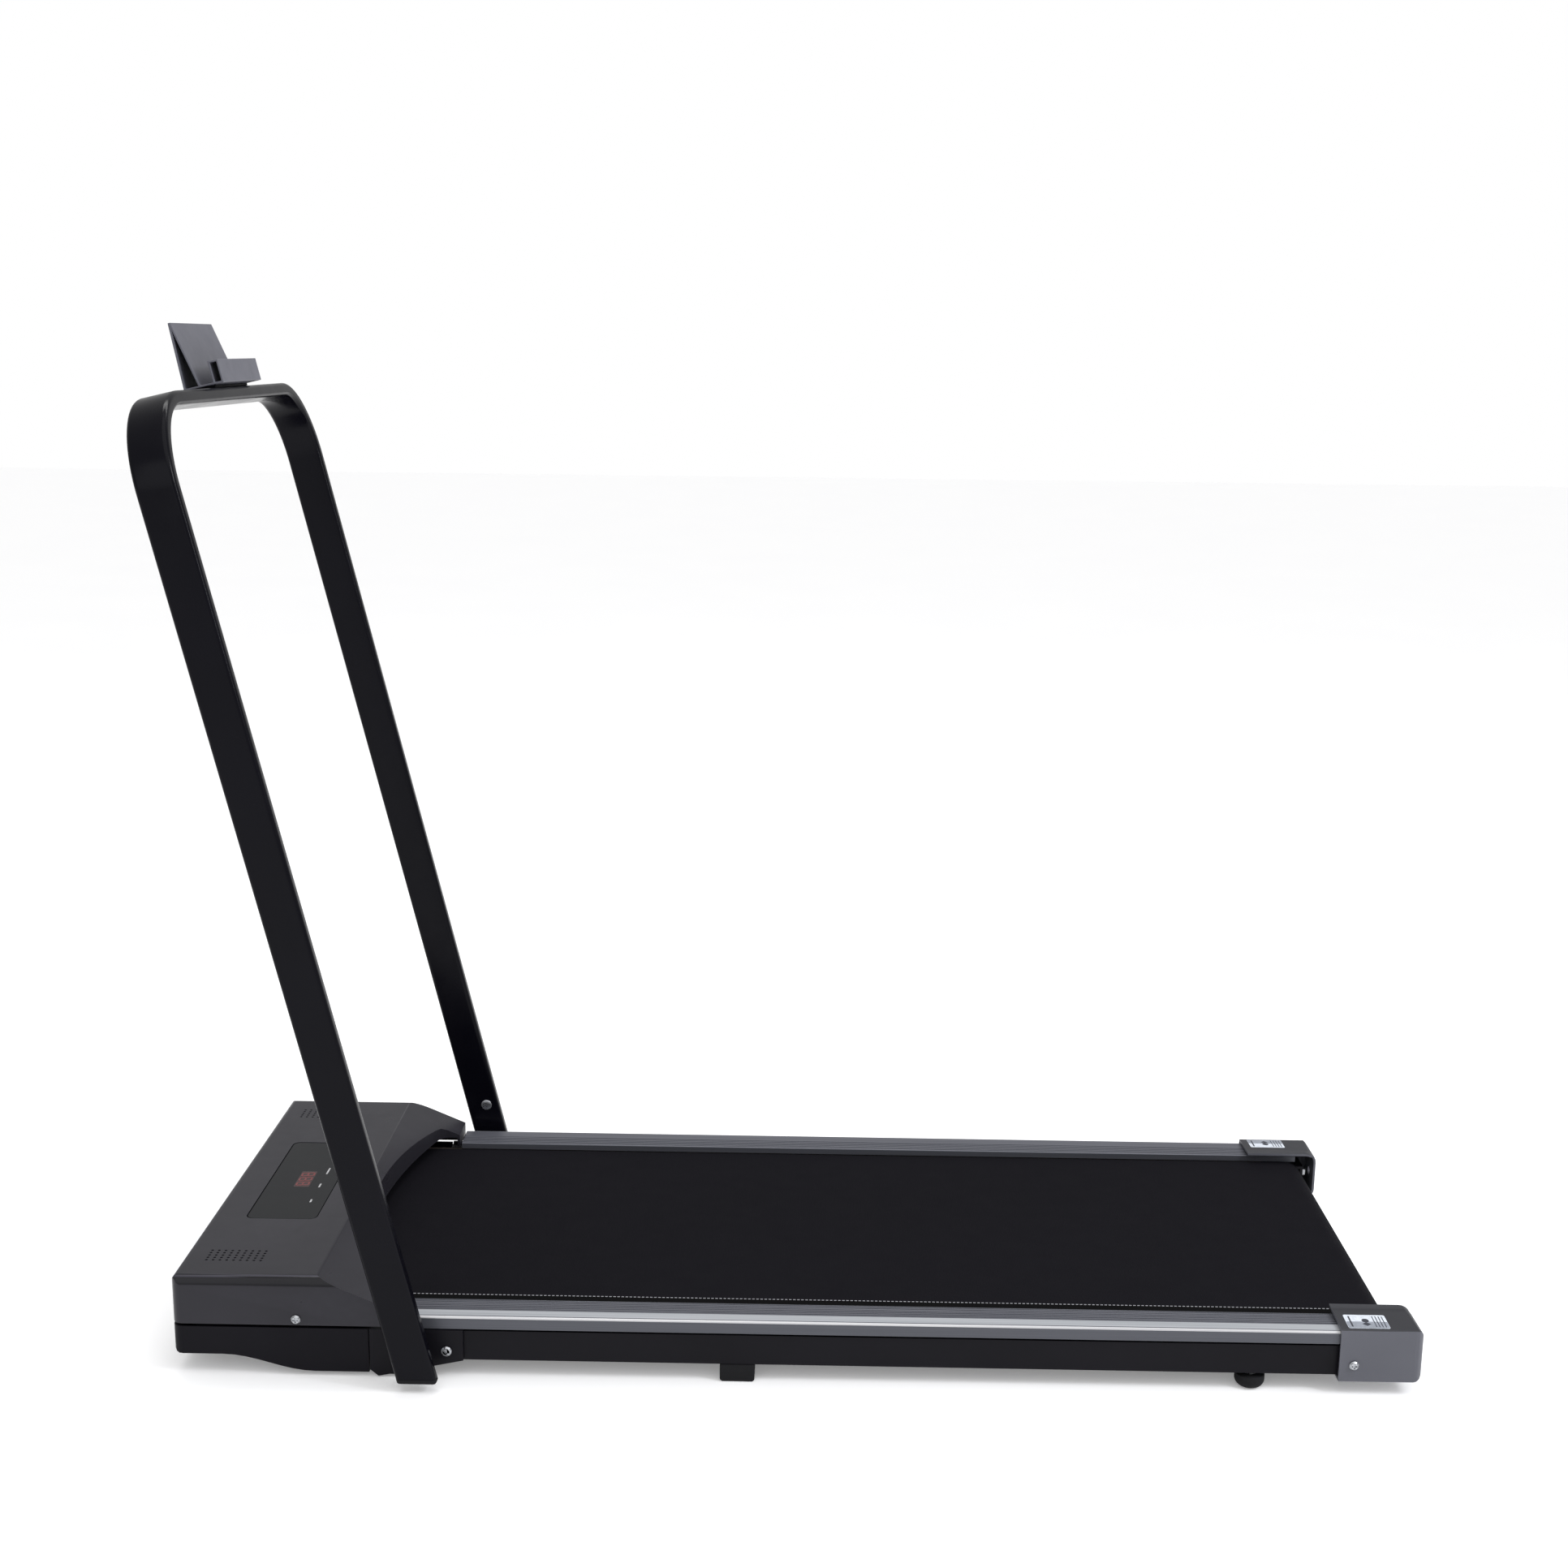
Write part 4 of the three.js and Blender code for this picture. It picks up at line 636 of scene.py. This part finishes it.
def make_world():
    """Plain white surroundings that give a little more light from above than from the sides."""
    world = bpy.data.worlds.new("studio")
    world.use_nodes = True
    nodes, links = world.node_tree.nodes, world.node_tree.links
    background = nodes["Background"]
    background.inputs["Color"].default_value = (1.0, 1.0, 1.0, 1.0)
    direction = nodes.new("ShaderNodeTexCoord")
    split = nodes.new("ShaderNodeSeparateXYZ")
    links.new(direction.outputs["Generated"], split.inputs[0])
    rise = nodes.new("ShaderNodeMapRange")
    rise.inputs["From Min"].default_value = LIGHT_RISE[0]
    rise.inputs["From Max"].default_value = LIGHT_RISE[1]
    rise.inputs["To Min"].default_value = HORIZON_LIGHT
    rise.inputs["To Max"].default_value = ZENITH_LIGHT
    links.new(split.outputs["Z"], rise.inputs["Value"])
    rays = nodes.new("ShaderNodeLightPath")
    seen = nodes.new("ShaderNodeMix")
    links.new(rays.outputs["Is Camera Ray"], seen.inputs[0])
    links.new(rise.outputs[0], seen.inputs[2])
    seen.inputs[3].default_value = BACKDROP_LIGHT
    links.new(seen.outputs[0], background.inputs["Strength"])
    bpy.context.scene.world = world


def make_sky():
    """Even, very soft light over the whole floor."""
    data = bpy.data.lights.new("sky", "SUN")
    data.energy = SKY_POWER
    data.angle = math.radians(SKY_SPREAD)
    light = bpy.data.objects.new("sky", data)
    light.rotation_euler = Vector(SKY_DIRECTION).to_track_quat("Z", "Y").to_euler()
    bpy.context.scene.collection.objects.link(light)


bpy.context.scene.view_settings.view_transform = "Standard"
make_camera()
make_world()
make_floor()
make_sky()
make_light("key", (2.4, -0.9, 2.3), (0.0, 0.0, 0.3), (1.1, 0.8), 26.0, (0.97, 0.98, 1.0))
make_light("top", (-0.3, 0.9, 2.8), (0.0, 0.0, 0.0), (2.2, 0.5), 22.0)
make_light("fill", (-1.0, -3.0, 1.6), (0.0, 0.0, 0.2), (2.2, 1.4), 9.0, (0.96, 0.97, 1.0))
make_light("strip", (1.8, -1.0, 1.7), (-0.6, -0.25, 0.9), (0.12, 1.3), 12.0, (0.92, 0.94, 1.0))

# ---------------------------------------------------------------------------
# Pieces taken over from the frame, with eased edges
# ---------------------------------------------------------------------------

WINDOW_INSET = 0.5

# Width of the eased edges in millimetres, of the pieces on both sides and of the others
EASED_PAIRS = {
    "frame_rail": 0.8,
    "end_cap": 0.5,
    "pivot_bracket": 0.6,
    "front_foot": 1.2,
    "middle_foot": 1.2,
    "bracket_screw": 0.3,
    "hood_screw": 0.3,
    "end_cap_screw": 0.3,
    "rear_foot_nut": 0.4,
    "tension_bolt": 0.4,
    "leg_plug": 0.6,
    "stop_bolt": 0.3,
    "pivot_bolt": 0.3,
    "foot_rail": 0.25,
    "wheel_pin": 0.0,
}
EASED_SINGLES = {
    "crossmember_front": 0.6,
    "crossmember_middle": 0.6,
    "crossmember_rear": 0.6,
    "front_subframe": 0.4,
    "deck_board": 0.6,
    "running_belt": 0.3,
    "front_roller": 0.4,
    "rear_roller": 0.4,
    "front_axle": 0.4,
    "rear_axle": 0.3,
    "roller_pulley": 0.5,
    "drive_belt": 0.3,
    "motor": 0.8,
    "motor_pulley": 0.4,
    "control_board": 0.2,
    "heat_sink": 0.2,
    "motor_hood": 0.0,
    "display_window": 0.4,
    "display_board": 0.2,
    "power_inlet": 0.4,
    "switch_housing": 0.4,
    "power_switch": 0.6,
    "lower_pan": 0.6,
    "device_holder": 0.6,
    "holder_pad": 0.5,
}

for stem, width in EASED_PAIRS.items():
    for side in SIDES:
        node = f"{stem}_{side}"
        finish = MATERIALS["foot_rail"] if stem == "foot_rail" else None
        refined(node, width, material=finish)

for node, width in EASED_SINGLES.items():
    refined(node, width)


def widen_window_gap():
    """A clearer dark line round the display window."""
    mesh = bpy.data.objects["display_window_fine"].data
    low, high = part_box("display_window")
    middle = (low + high) / 2
    for vertex in mesh.vertices:
        for axis in (0, 1):
            side = math.copysign(1.0, vertex.co[axis] - middle[axis])
            vertex.co[axis] -= side * WINDOW_INSET * MM


widen_window_gap()

# ---------------------------------------------------------------------------
# Handrail tube
# ---------------------------------------------------------------------------

PIVOT = Vector(JOINTS["handrail_fold"]["pos_m"]) / MM
LEAN = math.radians(13.57)
TUBE_WIDTH = 39.0
TUBE_THICKNESS = 14.0
TUBE_CORNER = 4.5
TUBE_WALL = 1.8
BEND_RADIUS = 79.0
HANDRAIL_HEIGHT = 955.5
HANDRAIL_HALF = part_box("handrail")[1].y / MM
LEG_FOOT = 15.3
OUTLINE_STEPS = 8
BEND_STEP = 5
HANDRAIL_SHARP_ANGLE = 50.0


def leaning(x, y, z):
    """A point of the handrail's own upright frame, placed at rest in millimetres."""
    cos, sin = math.cos(LEAN), math.sin(LEAN)
    return Vector((PIVOT.x + x * cos - z * sin, y, PIVOT.z + x * sin + z * cos))


def handrail_rings(inset):
    """Rounded-rectangle rings along the U, from the near leg's foot to the far one's."""
    outline = rounded_outline(
        (-TUBE_WIDTH / 2 + inset, -TUBE_THICKNESS / 2 + inset),
        (TUBE_WIDTH / 2 - inset, TUBE_THICKNESS / 2 - inset),
        TUBE_CORNER - inset,
        OUTLINE_STEPS,
    )
    leg = HANDRAIL_HALF - TUBE_THICKNESS / 2
    top = HANDRAIL_HEIGHT - TUBE_THICKNESS / 2
    stations = []
    for angle in range(0, 91, BEND_STEP):
        a = math.radians(angle)
        y = leg - BEND_RADIUS + BEND_RADIUS * math.cos(a)
        z = top - BEND_RADIUS + BEND_RADIUS * math.sin(a)
        stations.append((y, z, math.cos(a), math.sin(a)))
    rings = []
    level = (LEG_FOOT - PIVOT.z) / math.cos(LEAN)
    rings.append([leaning(x, -leg - across, level - math.tan(LEAN) * x) for x, across in outline])
    rings.append([leaning(x, -leg - across, 0.5 * top) for x, across in outline])
    for y, z, dy, dz in stations:
        rings.append([leaning(x, -y - across * dy, z + across * dz) for x, across in outline])
    for y, z, dy, dz in reversed(stations):
        rings.append([leaning(x, y + across * dy, z + across * dz) for x, across in outline])
    rings.append([leaning(x, leg + across, 0.5 * top) for x, across in outline])
    rings.append([leaning(x, leg + across, level - math.tan(LEAN) * x) for x, across in outline])
    return rings


def make_handrail():
    """The bent tube, open at both feet."""
    work = bmesh.new()
    skins = []
    for inset in (0.0, TUBE_WALL):
        rings = [[work.verts.new(point * MM) for point in ring] for ring in handrail_rings(inset)]
        for first, second in zip(rings, rings[1:]):
            count = len(first)
            for i in range(count):
                j = (i + 1) % count
                work.faces.new((first[i], first[j], second[j], second[i]))
        skins.append(rings)
    for end in (0, -1):
        outer, inner = skins[0][end], skins[1][end]
        count = len(outer)
        for i in range(count):
            j = (i + 1) % count
            work.faces.new((outer[i], outer[j], inner[j], inner[i]))
    mesh = mesh_of(work, "handrail_fine")
    piece = new_object("handrail_fine", mesh, MATERIALS["handrail_paint"])
    shade(mesh, HANDRAIL_SHARP_ANGLE)
    place(piece, "handrail")


make_handrail()

# ---------------------------------------------------------------------------
# Feet and wheels
# ---------------------------------------------------------------------------

FOOT_ROUNDING = 8.0
WHEEL_BORE = 4.3
WHEEL_HUB = 8.5
WHEEL_RIM = 5.0
WEB_DEPTH = 2.0


def make_round_feet():
    for side in SIDES:
        node = f"rear_foot_{side}"
        low, high = (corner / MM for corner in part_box(node))
        centre = ((low.x + high.x) / 2, (low.y + high.y) / 2, low.z)
        radius = (high.x - low.x) / 2
        height = high.z - low.z
        flat = radius - FOOT_ROUNDING
        profile = [(0.0, 0.0), (flat, 0.0)]
        profile += arc((flat, FOOT_ROUNDING), FOOT_ROUNDING, -90, 0, 10)[1:]
        profile += [(radius, height - 1.2), (radius - 0.4, height - 0.4)]
        profile += [(radius - 1.2, height), (0.0, height)]
        place(turned(f"{node}_fine", profile, centre, "z", MATERIALS["rubber"]), node)


def make_wheels():
    for side in SIDES:
        node = f"transport_wheel_{side}"
        low, high = (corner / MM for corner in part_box(node))
        centre = ((low.x + high.x) / 2, (low.y + high.y) / 2, (low.z + high.z) / 2)
        radius = (high.z - low.z) / 2
        half = (high.y - low.y) / 2
        hub, web = WHEEL_HUB, radius - WHEEL_RIM
        floor = half - WEB_DEPTH
        profile = [
            (WHEEL_BORE, -half), (hub, -half),
            (hub + 0.8, -floor), (web - 0.8, -floor), (web, -half),
            (radius - 1.5, -half), (radius - 0.4, -half + 0.6), (radius, -half + 1.8),
            (radius, half - 1.8), (radius - 0.4, half - 0.6), (radius - 1.5, half),
            (web, half), (web - 0.8, floor), (hub + 0.8, floor), (hub, half), (WHEEL_BORE, half),
            (WHEEL_BORE, -half),
        ]
        place(turned(f"{node}_fine", profile, centre, "y", MATERIALS["rubber"]), node)


make_round_feet()
make_wheels()

# ---------------------------------------------------------------------------
# Display digits, marks and the end caps' stickers
# ---------------------------------------------------------------------------

DIGIT_TALL = 13.0
DIGIT_WIDE = 8.0
DIGIT_PITCH = 12.6
DIGIT_SLANT = 1.4
DIGIT_COUNT = 3
SEGMENT_WIDTH = 1.9
READOUT_X = (-553.5, -536.5)
READOUT_HALF = 21.5
MARK_X = -525.0
MARK_HALF_WIDTH = 0.9

# Length of each mark, by its place across the machine
MARK_LENGTHS = {23.0: 17.0, -17.0: 10.0, -58.0: 8.0}

# Heights above the window at which the readout and its segments and marks lie
WINDOW_GAP = 0.02
READOUT_THICKNESS = 0.05
SEGMENT_LIFT = 0.06
SEGMENT_THICKNESS = 0.12
MARK_THICKNESS = 0.1

# The end caps' sloping lids and their stickers
LID_START = 212.0
LID_START_Z = 71.8
LID_END = 245.5
LID_END_Z = 70.4
STICKER_X = (552.5, 594.0)
STICKER_REACH = (6.0, 32.5)

# The sticker's layers, each from a lower to an upper height above the lid
SHEET_LAYER = (0.03, 0.22)
HALF_LAYER = (0.22, 0.27)
INK_LAYER = (0.28, 0.33)
DIAMOND_LAYER = (0.34, 0.37)


def rounded_plate(low, high, radius, steps, layer):
    """A thin rounded rectangle between two corners, filling a layer of heights."""
    return prism(rounded_outline(low, high, radius, steps), *layer)


def flat_bar(work, start, end, z):
    """Adds a thin pointed bar between two points, as a display's segment is."""
    start, end = Vector(start), Vector(end)
    along = (end - start).normalized()
    side = Vector((-along.y, along.x)) * SEGMENT_WIDTH / 2
    tip = along * SEGMENT_WIDTH / 2
    corners = [start, start + tip + side, end - tip + side]
    corners += [end, end - tip - side, start + tip - side]
    join_into(work, prism([tuple(corner) for corner in corners], z, z + SEGMENT_THICKNESS))


def rides_deck(name, work, material):
    """Makes a drawn piece that moves with the deck."""
    piece = new_object(name, mesh_of(work, name), material)
    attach(piece, "deck")


def make_digits():
    """Digits that are not switched on, given a faint painted glow, read from the walking side: the top of each
    digit points to the front.
    """
    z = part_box("display_window")[1].z / MM + WINDOW_GAP
    low, high = (READOUT_X[0], -READOUT_HALF), (READOUT_X[1], READOUT_HALF)
    glow = rounded_plate(low, high, 1.5, 3, (z, z + READOUT_THICKNESS))
    rides_deck("display_readout", glow, LED_GLOW)
    work = bmesh.new()
    foot = (READOUT_X[0] + READOUT_X[1] + DIGIT_TALL) / 2
    for index in range(DIGIT_COUNT):
        middle = (index - (DIGIT_COUNT - 1) / 2) * DIGIT_PITCH

        def corner(across, up):
            slant = DIGIT_SLANT * (0.5 - up)
            return foot - up * DIGIT_TALL, middle + (across - 0.5) * DIGIT_WIDE + slant

        for start, end in (
            ((0, 1), (1, 1)), ((0, 0.5), (1, 0.5)), ((0, 0), (1, 0)),
            ((0, 0), (0, 0.5)), ((0, 0.5), (0, 1)), ((1, 0), (1, 0.5)), ((1, 0.5), (1, 1)),
        ):
            flat_bar(work, corner(*start), corner(*end), z + SEGMENT_LIFT)
    rides_deck("display_digits", work, LED)
    marks = bmesh.new()
    for y, length in MARK_LENGTHS.items():
        low = (MARK_X - MARK_HALF_WIDTH, y - length / 2)
        high = (MARK_X + MARK_HALF_WIDTH, y + length / 2)
        join_into(marks, rounded_plate(low, high, 0.8, 3, (z, z + MARK_THICKNESS)))
    rides_deck("display_marks", marks, MARKS)


def on_lid(work, sign):
    """Moves a drawing of (x, distance along the lid, height above it) on to the cap's lid."""
    fall = math.atan2(LID_START_Z - LID_END_Z, LID_END - LID_START)
    for vertex in work.verts:
        x, out, up = vertex.co / MM
        y = LID_START + out * math.cos(fall) + up * math.sin(fall)
        z = LID_START_Z - out * math.sin(fall) + up * math.cos(fall)
        vertex.co = Vector((x, sign * y, z)) * MM
    return work


def make_stickers():
    """A plain two-tone sticker with ruled lines, a disc and a diamond on each end cap."""
    (x0, x1), (out0, out1) = STICKER_X, STICKER_REACH
    middle = (out0 + out1) / 2
    centre_x = x0 + 0.48 * (x1 - x0)
    for side, sign in SIDES.items():
        sheet = rounded_plate((x0, out0), (x1, out1), 2.0, 4, SHEET_LAYER)
        rides_deck(f"sticker_white_{side}", on_lid(sheet, sign), LABEL_WHITE)
        half = rounded_plate((x0 + 0.3, middle), (x1 - 0.3, out1 - 0.3), 1.7, 4, HALF_LAYER)
        rides_deck(f"sticker_grey_{side}", on_lid(half, sign), LABEL_GREY)
        ink = bmesh.new()
        for row in range(4):
            x = x1 - 13.5 + 3.2 * row
            low, high = (x, out0 + 2.5), (x + 0.9, out1 - 2.5)
            join_into(ink, rounded_plate(low, high, 0.4, 2, INK_LAYER))
        low, high = (x0 + 4.0, out0 + 3.0), (x0 + 5.6, out1 - 3.0)
        join_into(ink, rounded_plate(low, high, 0.7, 2, INK_LAYER))
        join_into(ink, prism(arc((centre_x, middle - 2.0), 3.6, 0, 345, 23), *INK_LAYER))
        diamond = [
            (centre_x - 4.5, middle + 4.5), (centre_x, middle + 1.5),
            (centre_x + 4.5, middle + 4.5), (centre_x, middle + 8.5),
        ]
        join_into(ink, prism(diamond, *DIAMOND_LAYER))
        rides_deck(f"sticker_ink_{side}", on_lid(ink, sign), LABEL_INK)


make_digits()
make_stickers()
